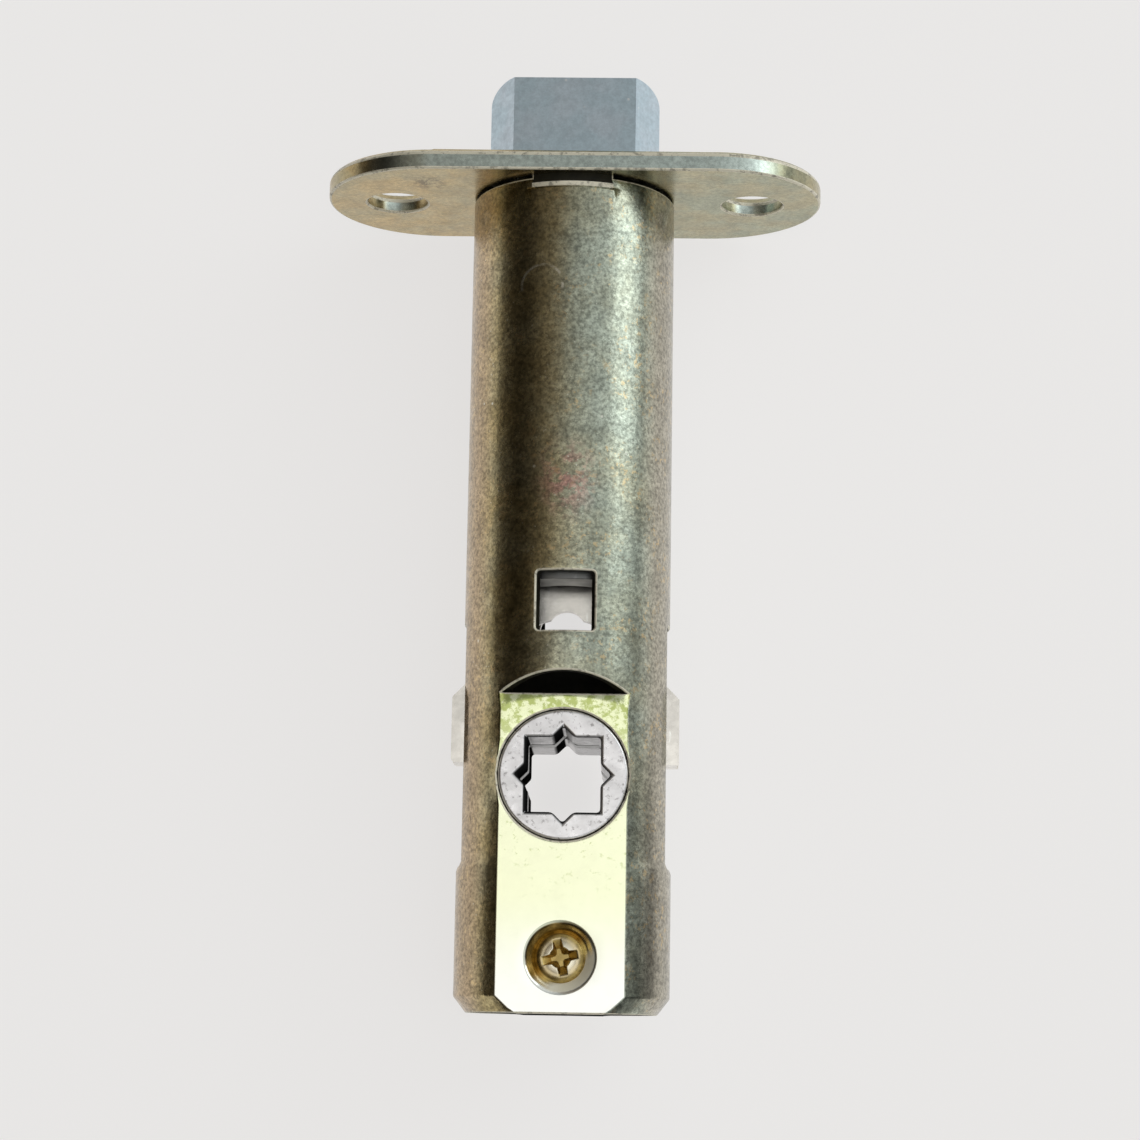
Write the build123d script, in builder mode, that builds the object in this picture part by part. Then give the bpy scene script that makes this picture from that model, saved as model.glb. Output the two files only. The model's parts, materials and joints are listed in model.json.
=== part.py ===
from build123d import *
import math
import os

# Driving dimensions in millimetres.
# X runs along the faceplate, Y towards the bolt's tip and Z along the spindle.
# The origin is the middle of the faceplate's outer face, on the axis of the tube.
backset = 69.85
plate_length = 57.15
plate_width = 25.4
plate_thickness = 2.4
plate_edge_break = 0.5
screw_spacing = 41.3
screw_hole_radius = 3.5
screw_sink_radius = 4.3

tube_radius = 11.6
tube_wall = 1.3
tube_front = -2.75
tube_end = -95.5
flat_front = -backset + 8.9
flat_height = 9.26
arch_apex = flat_front + 2.25
stake_half_width = 4.6
window_half_width = 3.25
window_front = -47.7
window_rear = -54.3
slot_half_height = 2.6
slot_front = -52.4
slot_rear = -79.4
swell = 0.35
swell_start = -79.0
swell_run = 1.0
crimp_run = 1.85
crimp_radius = 10.5

bolt_throw = 10.8
bolt_half_width = 9.75
bolt_half_height = 6.35
bolt_face_half_width = 7.0
bolt_shoulder_height = 2.9
bolt_corner_radius = 2.5
bolt_tip_thickness = 1.0
bolt_bevel_start = 1.0
bolt_bevel_bulge = 1.4
bolt_rear = -12.0
bolt_spigot_radius = 4.8
bolt_spigot_length = 1.2
aperture_clearance = 0.2

strip_half_width = 2.6
strip_half_height = 1.25
strip_front = -4.0
strip_rear = -36.0
strip_clearance = 0.05
tail_pin_y = -8.5
tail_pin_radius = 1.25
tail_pin_half_length = 5.9
pull_pin_y = -34.0
pull_pin_radius = 1.6
pull_pin_head_radius = 2.3
pull_pin_half_length = 3.0
pull_pin_head_height = 0.55

hub_radius = 7.1
hub_clearance = 0.1
square_side = 8.15
diamond_side = 7.4
cam_half_height = 1.25
wing_reach = 11.0
wing_push_face = 2.95
wing_top_face = 4.4
wing_corner_radius = 0.35

yoke_inner = 1.35
yoke_outer = 2.35
yoke_half_width = 9.7
neck_half_width = 4.0
neck_front = -30.5
shoulder_front = -48.3
shoulder_cut = 1.5
pin_slot_front = -32.2
pin_slot_rear = -46.7
pin_clearance = 0.1
notch_half_width = 7.35
notch_centre = -58.95
relief_centre = -52.9
relief_radius_front = 2.1
relief_radius_back = 3.2
ear_half_width = 12.7
ear_start = -57.6
ear_slope = 3.0
ear_corner_radius = 0.5
ear_bottom = -backset + 1.9
ear_fold_height = 1.0
ear_fold_gap = 0.05
ear_fold_inner = 7.6
ear_fold_outer = 12.5
rivet_x = 8.2
rivet_y = -50.1
rivet_radius = 0.7
rivet_waist_radius = 1.2
washer_radius = 9.5
washer_bore_radius = 4.75
washer_thickness = 1.2

bolt_spring_radius = 5.8
bolt_spring_wire = 1.0
bolt_spring_turns = 7
bolt_spring_steps = 8
return_spring_x = 8.75
return_spring_radius = 1.2
return_spring_wire = 0.45
return_spring_turns = 7
return_spring_steps = 6

block_front = -86.0
block_rear = -95.2
block_clearance = 0.05
guide_radius = 0.75
guide_tip = -79.3
guide_depth = 2.5
screw_y = -89.5
dimple_radius = 3.85
dimple_wall = 1.0
screw_head_radius = 2.9
screw_head_edge = 0.2
screw_shank_radius = 1.5
screw_shank_end = -2.0
cross_width = 0.8
cross_length = 3.8
cross_depth = 1.1
cross_taper = 8
cross_turn = 12

# Sizes that follow from the ones above.
tube_bore = tube_radius - tube_wall
flat_inside = flat_height - tube_wall
flat_half_width = math.sqrt(tube_radius**2 - flat_height**2)
flat_half_inside = math.sqrt(tube_bore**2 - flat_inside**2)
crimp_half_width = math.sqrt(crimp_radius**2 - flat_height**2)
crimp_bore = crimp_radius - tube_wall
crimp_half_inside = math.sqrt(crimp_bore**2 - flat_inside**2)
washer_rear = shoulder_front
washer_front = washer_rear + washer_thickness
shank_hole_radius = screw_shank_radius + 0.15
dimple_floor = flat_height - dimple_radius + shank_hole_radius
dimple_skirt = dimple_wall * math.sqrt(2)
dimple_foot_radius = shank_hole_radius + dimple_skirt
dimple_inside_radius = dimple_radius - tube_wall + dimple_skirt
screw_head_foot = dimple_floor + 0.1
screw_head_top = screw_head_foot + screw_head_radius - screw_shank_radius + screw_head_edge
reach = 2 * tube_radius


def cross_plane(y):
    """Plane across the tube at y, with X along the faceplate and Z up; it extrudes towards the rear."""
    return Plane.XZ.offset(-y)


def pressed_outline(flat_x, flat_z, side_x):
    """Outline of the pressed tube: two flats joined by two side arcs."""
    with BuildSketch() as outline:
        with BuildLine():
            ThreePointArc((flat_x, -flat_z), (side_x, 0), (flat_x, flat_z))
            Line((flat_x, flat_z), (-flat_x, flat_z))
            ThreePointArc((-flat_x, flat_z), (-side_x, 0), (-flat_x, -flat_z))
            Line((-flat_x, -flat_z), (flat_x, -flat_z))
        make_face()
    return outline.sketch


def pressed_body(flat_x, flat_z, side_x, crimp_x, crimp_side, start, shrink=0.0):
    """Solid of the pressed stretch: straight, a slight swell, straight, then the crimped end."""
    crimp_start = tube_end + crimp_run
    with BuildPart() as body:
        if start > swell_start:
            with BuildSketch(cross_plane(start)):
                add(pressed_outline(flat_x, flat_z, side_x))
            extrude(amount=start - swell_start)
            with BuildSketch(cross_plane(swell_start)):
                add(pressed_outline(flat_x, flat_z, side_x))
            with BuildSketch(cross_plane(swell_start - swell_run)):
                add(pressed_outline(flat_x, flat_z, side_x + swell))
            loft(ruled=True)
        swell_end = min(start, swell_start - swell_run)
        with BuildSketch(cross_plane(swell_end)):
            add(pressed_outline(flat_x, flat_z, side_x + swell))
        extrude(amount=swell_end - crimp_start)
        with BuildSketch(cross_plane(crimp_start)):
            add(pressed_outline(flat_x, flat_z, side_x + swell))
        with BuildSketch(cross_plane(tube_end + shrink)):
            share = 1 - shrink / crimp_run
            end_x = flat_x + (crimp_x - flat_x) * share
            end_side = side_x + swell + (crimp_side - side_x - swell) * share
            add(pressed_outline(end_x, flat_z, end_side))
        loft(ruled=True)
    return body.part


def star_outline():
    """Spindle hole: a square and a smaller one turned by an eighth of a turn, which make a star."""
    with BuildSketch() as star:
        Rectangle(square_side, square_side)
        Rectangle(diamond_side, diamond_side, rotation=45)
    return star.sketch


def bolt_outline():
    """Section of the bolt: a flat bar with all four corners cut to pass down the round tube."""
    with BuildSketch() as outline:
        with BuildLine() as half:
            Polyline(
                (0, bolt_half_height),
                (bolt_face_half_width, bolt_half_height),
                (bolt_half_width, bolt_shoulder_height),
                (bolt_half_width, -bolt_shoulder_height),
                (bolt_face_half_width, -bolt_half_height),
                (0, -bolt_half_height),
            )
            mirror(about=Plane.YZ)
        make_face()
    return outline.sketch


def stake_outline(clearance):
    """Section of the two stakes: the slices of the tube wall nearest to and furthest from the eye."""
    with BuildSketch() as stakes:
        Circle(tube_radius + clearance)
        Circle(tube_bore - clearance, mode=Mode.SUBTRACT)
        Rectangle(2 * (stake_half_width + clearance), reach + 2, mode=Mode.INTERSECT)
    return stakes.sketch


def coil(radius, wire, turns, turn_steps, front, rear, x):
    """Open coil spring along Y between two seats, wound as short straight runs of six-sided wire."""
    travel = front - rear - wire
    steps = turns * turn_steps
    points = []
    for step in range(steps + 1):
        angle = 2 * math.pi * step / turn_steps
        y = front - wire / 2 - travel * step / steps
        points.append((x + radius * math.cos(angle), y, radius * math.sin(angle)))
    with BuildPart() as spring:
        with BuildLine() as path:
            Polyline(*points)
        with BuildSketch(path.line ^ 0):
            RegularPolygon(wire / 2, 6)
        sweep(transition=Transition.RIGHT)
    return spring.part


# Case: the tube, its faceplate and the plug at its end.

with BuildPart() as latch_tube:
    with BuildSketch(cross_plane(tube_front)):
        Circle(tube_radius)
    extrude(amount=tube_front - flat_front)
    add(pressed_body(flat_half_width, flat_height, tube_radius, crimp_half_width, crimp_radius, flat_front))
    # Slots in both sides for the ears of the yoke.
    for side in (-1, 1):
        with BuildSketch(Plane.YZ.offset(side * notch_half_width)):
            with Locations(((slot_front + slot_rear) / 2, 0)):
                Rectangle(slot_front - slot_rear, 2 * slot_half_height)
        extrude(amount=side * tube_radius, mode=Mode.SUBTRACT)
    with BuildSketch(cross_plane(tube_front)):
        Circle(tube_bore)
    extrude(amount=tube_front - flat_front, mode=Mode.SUBTRACT)
    add(
        pressed_body(flat_half_inside, flat_inside, tube_bore, crimp_half_inside, crimp_bore, flat_front),
        mode=Mode.SUBTRACT,
    )
    # The wall is cut along an arch and the rest pressed down flat, which leaves a crescent above each flat.
    with BuildSketch(Plane.XY):
        with BuildLine():
            ThreePointArc((-flat_half_width, flat_front), (0, arch_apex), (flat_half_width, flat_front))
            Line((flat_half_width, flat_front), (-flat_half_width, flat_front))
        make_face()
    extrude(amount=reach, both=True, mode=Mode.SUBTRACT)
    # Sight windows, front and back.
    with BuildSketch(Plane.XY):
        with Locations((0, (window_front + window_rear) / 2)):
            Rectangle(2 * window_half_width, window_front - window_rear)
    extrude(amount=reach, both=True, mode=Mode.SUBTRACT)
    # Bearing holes of the hub, through both flats.
    with BuildSketch(Plane.XY):
        with Locations((0, -backset)):
            Circle(hub_radius + hub_clearance)
    extrude(amount=reach, both=True, mode=Mode.SUBTRACT)
    # Dimple of the end screw: the front flat is pressed in to a cone round the hole.
    with BuildSketch(Plane.YZ):
        with Locations((screw_y, 0)):
            Polygon(
                (0, dimple_floor),
                (dimple_foot_radius, dimple_floor),
                (dimple_inside_radius, flat_inside),
                (0, flat_inside),
                align=None,
            )
    revolve(axis=Axis((0, screw_y, 0), (0, 0, 1)))
    with BuildSketch(Plane.YZ):
        with Locations((screw_y, 0)):
            Polygon(
                (0, dimple_floor - 0.5),
                (shank_hole_radius, dimple_floor - 0.5),
                (shank_hole_radius, dimple_floor),
                (dimple_radius, flat_height),
                (0, flat_height),
                align=None,
            )
    revolve(axis=Axis((0, screw_y, 0), (0, 0, 1)), mode=Mode.SUBTRACT)
    # Stakes that pass through the faceplate.
    with BuildSketch(cross_plane(0)):
        add(stake_outline(0))
    extrude(amount=-tube_front)

with BuildPart() as faceplate:
    with BuildSketch(cross_plane(0)):
        SlotOverall(plate_length, plate_width)
    extrude(amount=plate_thickness)
    chamfer(faceplate.faces().sort_by(Axis.Y)[-1].edges(), plate_edge_break)
    with BuildSketch(cross_plane(0)):
        add(bolt_outline())
        offset(amount=aperture_clearance, kind=Kind.INTERSECTION)
    extrude(amount=plate_thickness, mode=Mode.SUBTRACT)
    with BuildSketch(cross_plane(0)):
        add(stake_outline(block_clearance))
    extrude(amount=plate_thickness, mode=Mode.SUBTRACT)
    with Locations(
        Plane((-screw_spacing / 2, 0, 0), x_dir=(1, 0, 0), z_dir=(0, 1, 0)),
        Plane((screw_spacing / 2, 0, 0), x_dir=(1, 0, 0), z_dir=(0, 1, 0)),
    ):
        CounterSinkHole(screw_hole_radius, screw_sink_radius, plate_thickness)

with BuildPart() as end_block:
    add(
        pressed_body(
            flat_half_inside - block_clearance,
            flat_inside - block_clearance,
            tube_bore - block_clearance,
            crimp_half_inside - block_clearance,
            crimp_bore - block_clearance,
            block_front,
            block_rear - tube_end,
        )
    )
    # Seat of the dimple and the tapped hole of the end screw.
    with BuildSketch(Plane.YZ):
        with Locations((screw_y, 0)):
            Polygon(
                (0, screw_shank_end),
                (screw_shank_radius, screw_shank_end),
                (screw_shank_radius, dimple_floor - block_clearance),
                (dimple_foot_radius + block_clearance, dimple_floor - block_clearance),
                (dimple_inside_radius + block_clearance, flat_inside),
                (0, flat_inside),
                align=None,
            )
    revolve(axis=Axis((0, screw_y, 0), (0, 0, 1)), mode=Mode.SUBTRACT)
    # Holes that hold the spring guides.
    with BuildSketch(cross_plane(block_front)):
        with Locations((-return_spring_x, 0), (return_spring_x, 0)):
            Circle(guide_radius)
    extrude(amount=guide_depth, mode=Mode.SUBTRACT)

with BuildPart() as end_screw:
    with BuildSketch(Plane.YZ):
        with Locations((screw_y, 0)):
            Polygon(
                (0, screw_shank_end),
                (screw_shank_radius, screw_shank_end),
                (screw_shank_radius, screw_head_foot),
                (screw_head_radius, screw_head_top - screw_head_edge),
                (screw_head_radius, screw_head_top),
                (0, screw_head_top),
                align=None,
            )
    revolve(axis=Axis((0, screw_y, 0), (0, 0, 1)))
    # Cross recess, narrower at its floor.
    with BuildSketch(Plane.XY.offset(screw_head_top)) as cross:
        with Locations(Location((0, screw_y, 0), cross_turn)):
            Rectangle(cross_length, cross_width)
            Rectangle(cross_width, cross_length)
    extrude(amount=-cross_depth, taper=cross_taper, mode=Mode.SUBTRACT)

# Hub: two bushes with the cam between them, all with the star-shaped spindle hole.

with BuildPart() as hub_bush_front:
    with BuildSketch(Plane.XY.offset(cam_half_height)):
        with Locations((0, -backset)):
            Circle(hub_radius)
            add(star_outline(), mode=Mode.SUBTRACT)
    extrude(amount=flat_height - cam_half_height)

with BuildPart() as hub_bush_back:
    with BuildSketch(Plane.XY.offset(-flat_height)):
        with Locations((0, -backset)):
            Circle(hub_radius)
            add(star_outline(), mode=Mode.SUBTRACT)
    extrude(amount=flat_height - cam_half_height)

with BuildPart() as cam_plate:
    with BuildSketch(Plane.XY):
        with Locations((0, -backset)):
            Circle(hub_radius)
        with Locations((0, -backset + (wing_push_face + wing_top_face) / 2)):
            RectangleRounded(2 * wing_reach, wing_top_face - wing_push_face, wing_corner_radius)
        with Locations((0, -backset)):
            add(star_outline(), mode=Mode.SUBTRACT)
    extrude(amount=cam_half_height, both=True)


# Yoke: two forked plates kept apart by two rivets, with ears that run in the slots of the tube.


def yoke_plate(face, relief_radius):
    """Forked plate in front of the cam (face 1) or behind it (-1), folded in at the foot of each ear."""
    with BuildPart() as plate:
        with BuildSketch(Plane.XY.offset(face * yoke_inner)):
            with BuildLine():
                Polyline(
                    (0, neck_front),
                    (neck_half_width, neck_front),
                    (neck_half_width, shoulder_front),
                    (yoke_half_width - shoulder_cut, shoulder_front),
                    (yoke_half_width, shoulder_front - shoulder_cut),
                    (yoke_half_width, ear_start),
                    (ear_half_width, ear_start - ear_slope),
                    (ear_half_width, ear_bottom),
                    (0, ear_bottom),
                )
                mirror(about=Plane.YZ)
            ears = make_face()
            fillet(ears.vertices().group_by(Axis.X)[0], ear_corner_radius)
            fillet(ears.vertices().group_by(Axis.X)[-1], ear_corner_radius)
            with Locations((0, notch_centre)):
                Circle(notch_half_width, mode=Mode.SUBTRACT)
            with Locations((0, (notch_centre + ear_bottom) / 2)):
                Rectangle(2 * notch_half_width, notch_centre - ear_bottom, mode=Mode.SUBTRACT)
            with Locations((0, relief_centre)):
                Circle(relief_radius, mode=Mode.SUBTRACT)
            with Locations((0, (pin_slot_front + pin_slot_rear) / 2)):
                SlotOverall(
                    pin_slot_front - pin_slot_rear,
                    2 * (pull_pin_radius + pin_clearance),
                    rotation=90,
                    mode=Mode.SUBTRACT,
                )
            with Locations((-rivet_x, rivet_y), (rivet_x, rivet_y)):
                Circle(rivet_radius, mode=Mode.SUBTRACT)
        extrude(amount=face * (yoke_outer - yoke_inner))
        with BuildSketch(Plane.XY.offset(face * ear_fold_gap)):
            fold_x = (ear_fold_inner + ear_fold_outer) / 2
            fold_y = ear_bottom + ear_fold_height / 2
            with Locations((-fold_x, fold_y), (fold_x, fold_y)):
                Rectangle(ear_fold_outer - ear_fold_inner, ear_fold_height)
        extrude(amount=face * (yoke_inner - ear_fold_gap))
    return plate.part


def yoke_rivet(side):
    """Shouldered rivet: a waist that keeps the plates apart and a thin shank through each plate."""
    centre = side * rivet_x
    with BuildPart() as rivet:
        with BuildSketch(cross_plane(rivet_y)):
            with BuildLine():
                Polyline(
                    (centre, -yoke_outer),
                    (centre + rivet_radius, -yoke_outer),
                    (centre + rivet_radius, -yoke_inner),
                    (centre + rivet_waist_radius, -yoke_inner),
                    (centre + rivet_waist_radius, yoke_inner),
                    (centre + rivet_radius, yoke_inner),
                    (centre + rivet_radius, yoke_outer),
                    (centre, yoke_outer),
                    close=True,
                )
            make_face()
        revolve(axis=Axis((centre, rivet_y, 0), (0, 0, 1)))
    return rivet.part


def spring_guide(side):
    """Pin in the end block that keeps a return spring straight."""
    with BuildPart() as guide:
        with BuildSketch(cross_plane(guide_tip)):
            with Locations((side * return_spring_x, 0)):
                Circle(guide_radius)
        extrude(amount=guide_tip - block_front + guide_depth)
        chamfer(guide.faces().sort_by(Axis.Y)[-1].edges(), guide_radius / 3)
    return guide.part


with BuildPart() as spring_washer:
    with BuildSketch(cross_plane(washer_front)):
        Circle(washer_radius)
        Circle(washer_bore_radius, mode=Mode.SUBTRACT)
    extrude(amount=washer_thickness)

# Bolt: the bevelled head, its tail strip and the two pins.

with BuildPart() as bolt_head:
    with BuildSketch(cross_plane(bolt_throw)):
        add(bolt_outline())
    extrude(amount=bolt_throw - bolt_rear)
    with BuildSketch(Plane.XY):
        with Locations((0, (bolt_throw + bolt_rear) / 2)):
            tip_outline = Rectangle(2 * bolt_half_width, bolt_throw - bolt_rear)
        fillet(tip_outline.vertices().group_by(Axis.Y)[-1], bolt_corner_radius)
    extrude(amount=reach, both=True, mode=Mode.INTERSECT)
    # Bevel behind the tip, slightly bulged, which rides over the strike.
    with BuildSketch(Plane.YZ):
        with BuildLine():
            low = Vector(bolt_bevel_start, -bolt_half_height)
            high = Vector(bolt_throw, bolt_half_height - bolt_tip_thickness)
            out = (high - low).rotate(Axis.Z, -90).normalized()
            ThreePointArc(low, (low + high) / 2 + out * bolt_bevel_bulge, high)
            Polyline(high, (bolt_throw + 1, high.Y), (bolt_throw + 1, low.Y - 1), (low.X, low.Y - 1), low)
        make_face()
    extrude(amount=reach, both=True, mode=Mode.SUBTRACT)
    # Spigot that centres the spring, the slot of the tail strip and the hole of its pin.
    with BuildSketch(cross_plane(bolt_rear)):
        Circle(bolt_spigot_radius)
    extrude(amount=bolt_spigot_length)
    with BuildSketch(cross_plane(strip_front + strip_clearance)):
        Rectangle(2 * (strip_half_width + strip_clearance), 2 * (strip_half_height + strip_clearance))
    extrude(amount=strip_front - bolt_rear + 2 * bolt_spigot_length, mode=Mode.SUBTRACT)
    with BuildSketch(Plane.XY):
        with Locations((0, tail_pin_y)):
            Circle(tail_pin_radius)
    extrude(amount=reach, both=True, mode=Mode.SUBTRACT)

with BuildPart() as tail_strip:
    with BuildSketch(Plane.XY):
        with Locations((0, (strip_front + strip_rear + strip_half_width) / 2)):
            Rectangle(2 * strip_half_width, strip_front - strip_rear - strip_half_width)
        with Locations((0, strip_rear + strip_half_width)):
            Circle(strip_half_width)
        with Locations((0, tail_pin_y)):
            Circle(tail_pin_radius, mode=Mode.SUBTRACT)
        with Locations((0, pull_pin_y)):
            Circle(pull_pin_radius, mode=Mode.SUBTRACT)
    extrude(amount=strip_half_height, both=True)

with BuildPart() as tail_pin:
    with BuildSketch(Plane.XY):
        with Locations((0, tail_pin_y)):
            Circle(tail_pin_radius)
    extrude(amount=tail_pin_half_length, both=True)

with BuildPart() as pull_pin:
    with BuildSketch(Plane.XY):
        with Locations((0, pull_pin_y)):
            Circle(pull_pin_radius)
    extrude(amount=pull_pin_half_length, both=True)
    with BuildSketch(Plane.XY.offset(pull_pin_half_length - pull_pin_head_height)):
        with Locations((0, pull_pin_y)):
            Circle(pull_pin_head_radius)
    extrude(amount=pull_pin_head_height)
    with BuildSketch(Plane.XY.offset(pull_pin_head_height - pull_pin_half_length)):
        with Locations((0, pull_pin_y)):
            Circle(pull_pin_head_radius)
    extrude(amount=-pull_pin_head_height)

yoke_plate_front = yoke_plate(1, relief_radius_front)
yoke_plate_back = yoke_plate(-1, relief_radius_back)
bolt_spring = coil(
    bolt_spring_radius,
    bolt_spring_wire,
    bolt_spring_turns,
    bolt_spring_steps,
    bolt_rear,
    washer_front,
    0,
)

pieces = {
    "latch_tube": latch_tube.part,
    "faceplate": faceplate.part,
    "end_block": end_block.part,
    "end_screw": end_screw.part,
    "hub_bush_front": hub_bush_front.part,
    "hub_bush_back": hub_bush_back.part,
    "cam_plate": cam_plate.part,
    "yoke_plate_front": yoke_plate_front,
    "yoke_plate_back": yoke_plate_back,
    "spring_washer": spring_washer.part,
    "bolt_head": bolt_head.part,
    "tail_strip": tail_strip.part,
    "tail_pin": tail_pin.part,
    "pull_pin": pull_pin.part,
    "bolt_spring": bolt_spring,
}
for side, hand in ((-1, "left"), (1, "right")):
    pieces["spring_guide_" + hand] = spring_guide(side)
    pieces["yoke_rivet_" + hand] = yoke_rivet(side)
    pieces["return_spring_" + hand] = coil(
        return_spring_radius,
        return_spring_wire,
        return_spring_turns,
        return_spring_steps,
        ear_bottom,
        block_front,
        side * return_spring_x,
    )

os.makedirs("parts", exist_ok=True)
for name, piece in pieces.items():
    piece.label = name
    export_step(piece, "parts/" + name + ".step")
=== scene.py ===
import json
import math

import bmesh
import bpy
import numpy as np
from bpy.props import FloatProperty, FloatVectorProperty, IntProperty, PointerProperty
from bpy.types import Operator, Panel, PropertyGroup
from mathutils import Matrix, Vector

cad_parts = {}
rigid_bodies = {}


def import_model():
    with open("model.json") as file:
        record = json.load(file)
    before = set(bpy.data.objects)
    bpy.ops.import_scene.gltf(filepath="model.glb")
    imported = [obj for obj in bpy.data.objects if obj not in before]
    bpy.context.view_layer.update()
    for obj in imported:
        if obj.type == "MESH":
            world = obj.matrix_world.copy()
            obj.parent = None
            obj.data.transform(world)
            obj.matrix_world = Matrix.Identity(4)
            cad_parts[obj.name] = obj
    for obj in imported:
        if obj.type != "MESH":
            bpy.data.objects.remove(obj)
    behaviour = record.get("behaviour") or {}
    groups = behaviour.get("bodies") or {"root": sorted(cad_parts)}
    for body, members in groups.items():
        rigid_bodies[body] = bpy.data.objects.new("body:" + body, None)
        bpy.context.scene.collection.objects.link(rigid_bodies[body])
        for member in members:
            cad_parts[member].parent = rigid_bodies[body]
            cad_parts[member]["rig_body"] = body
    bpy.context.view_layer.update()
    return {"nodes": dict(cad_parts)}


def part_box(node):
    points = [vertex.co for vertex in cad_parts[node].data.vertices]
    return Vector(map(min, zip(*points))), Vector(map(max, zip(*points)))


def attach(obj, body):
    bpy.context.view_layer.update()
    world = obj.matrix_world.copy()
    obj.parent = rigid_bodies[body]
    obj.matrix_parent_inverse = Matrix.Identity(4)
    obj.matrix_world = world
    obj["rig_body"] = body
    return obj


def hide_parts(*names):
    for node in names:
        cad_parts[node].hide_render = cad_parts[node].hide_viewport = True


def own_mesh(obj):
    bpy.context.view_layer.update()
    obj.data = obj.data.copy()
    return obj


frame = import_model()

bl_info = {
    "name": "Passage Latch",
    "version": (1, 0, 0),
    "blender": (4, 5, 0),
    "location": "3D View > Sidebar > Latch",
    "description": "Builds and finishes a tubular passage latch: tube, faceplate, bolt, hub, yoke, springs and studio",
    "category": "Add Mesh",
}

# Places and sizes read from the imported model, in metres.
TUBE_LOW, TUBE_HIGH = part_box("latch_tube")
HUB_LOW, HUB_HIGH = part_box("hub_bush_front")
SCREW_LOW, SCREW_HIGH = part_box("end_screw")
PLATE_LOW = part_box("faceplate")[0]
WASHER_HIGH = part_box("spring_washer")[1]
BOLT_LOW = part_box("bolt_head")[0]
YOKE_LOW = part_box("yoke_plate_front")[0]
BLOCK_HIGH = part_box("end_block")[1]
TUBE_RADIUS = TUBE_HIGH.z
HUB_Y = (HUB_LOW.y + HUB_HIGH.y) / 2
FLAT_HEIGHT = HUB_HIGH.z
SCREW_Y = (SCREW_LOW.y + SCREW_HIGH.y) / 2
FLAT_HALF_WIDTH = math.sqrt(TUBE_RADIUS**2 - FLAT_HEIGHT**2)
FLAT_ANGLE = math.asin(FLAT_HALF_WIDTH / TUBE_RADIUS)

# Fixed figures of the meshes: metres, counts and radians.
NEAR = 1e-7
TOLERANCE = 1e-6
WELD = 2e-6
CAD_WELD = 1e-6
CORNER_MARGIN = 0.0006
CORNER_STEPS = 4
LIP_STEPS = 4
BEND_ANGLE = math.radians(30)
SHARP_ANGLE = math.radians(50)
CAD_SHARP_ANGLE = math.radians(32)
CAD_FLAT_ANGLE = math.radians(0.5)
SIGNS = ((-1, -1), (-1, 1), (1, -1), (1, 1))

# Properties as key: (default, description). Lengths are in millimetres, distances from the faceplate's outer face.
LENGTHS = {
    "wall": (1.3, "Thickness of the tube's wall"),
    "rim": (2.75, "Distance to the tube's rim"),
    "window_half_width": (3.25, "Half width of the sight window"),
    "window_front": (47.7, "Distance to the window's front edge"),
    "window_rear": (54.3, "Distance to the window's rear edge"),
    "window_corner": (0.4, "Corner radius of the window"),
    "slot_half_height": (2.6, "Half height of the side slots"),
    "slot_front": (52.4, "Distance to the slots' front end"),
    "slot_rear": (79.4, "Distance to the slots' rear end"),
    "slot_corner": (0.5, "Corner radius of the side slots"),
    "stake_half_width": (4.6, "Half width of the stakes that hold the faceplate"),
    "stake_groove": (0.16, "Depth of the pressed line at the root of each stake"),
    "arch_rise": (2.25, "Rise of the arched cut above each flat"),
    "flat_front": (60.95, "Distance to the flats' front edge"),
    "swell": (0.35, "How far the tube's sides swell over the end block"),
    "swell_run": (1.1, "Length of the step into the swell"),
    "crimp_run": (1.85, "Length of the crimped end"),
    "crimp_radius": (10.5, "Radius of the tube at its crimped end"),
    "hub_clearance": (0.1, "Gap round the hub in the tube's flats"),
    "dimple_radius": (3.85, "Radius of the screw's dimple at the flat"),
    "dimple_hole": (1.65, "Radius of the screw's hole at the dimple's foot"),
    "dimple_lip": (0.2, "Half width of the rounded lip of the dimple"),
    "edge_break": (0.2, "Width of the rounding on the tube's sheared edges"),
    "bend_break": (0.15, "Width of the rounding along the pressed bends"),
    "bolt_edge": (0.3, "Width of the rounding on the bolt's edges"),
    "spring_radius": (5.8, "Mean radius of the bolt spring"),
    "spring_wire": (1.0, "Wire diameter of the bolt spring"),
    "return_radius": (1.2, "Mean radius of the return springs"),
    "return_wire": (0.45, "Wire diameter of the return springs"),
    "return_x": (8.75, "Distance of the return springs from the latch's axis"),
    "recess_depth": (1.1, "Depth of the screw's cross recess"),
    "recess_half_width": (0.68, "Half width of an arm of the cross recess"),
    "recess_reach": (1.95, "Length of an arm of the cross recess from its middle"),
}
TURNS = {
    "spring_turns": (7, "Open turns of the bolt spring"),
    "return_turns": (7, "Open turns of a return spring"),
}
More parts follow.
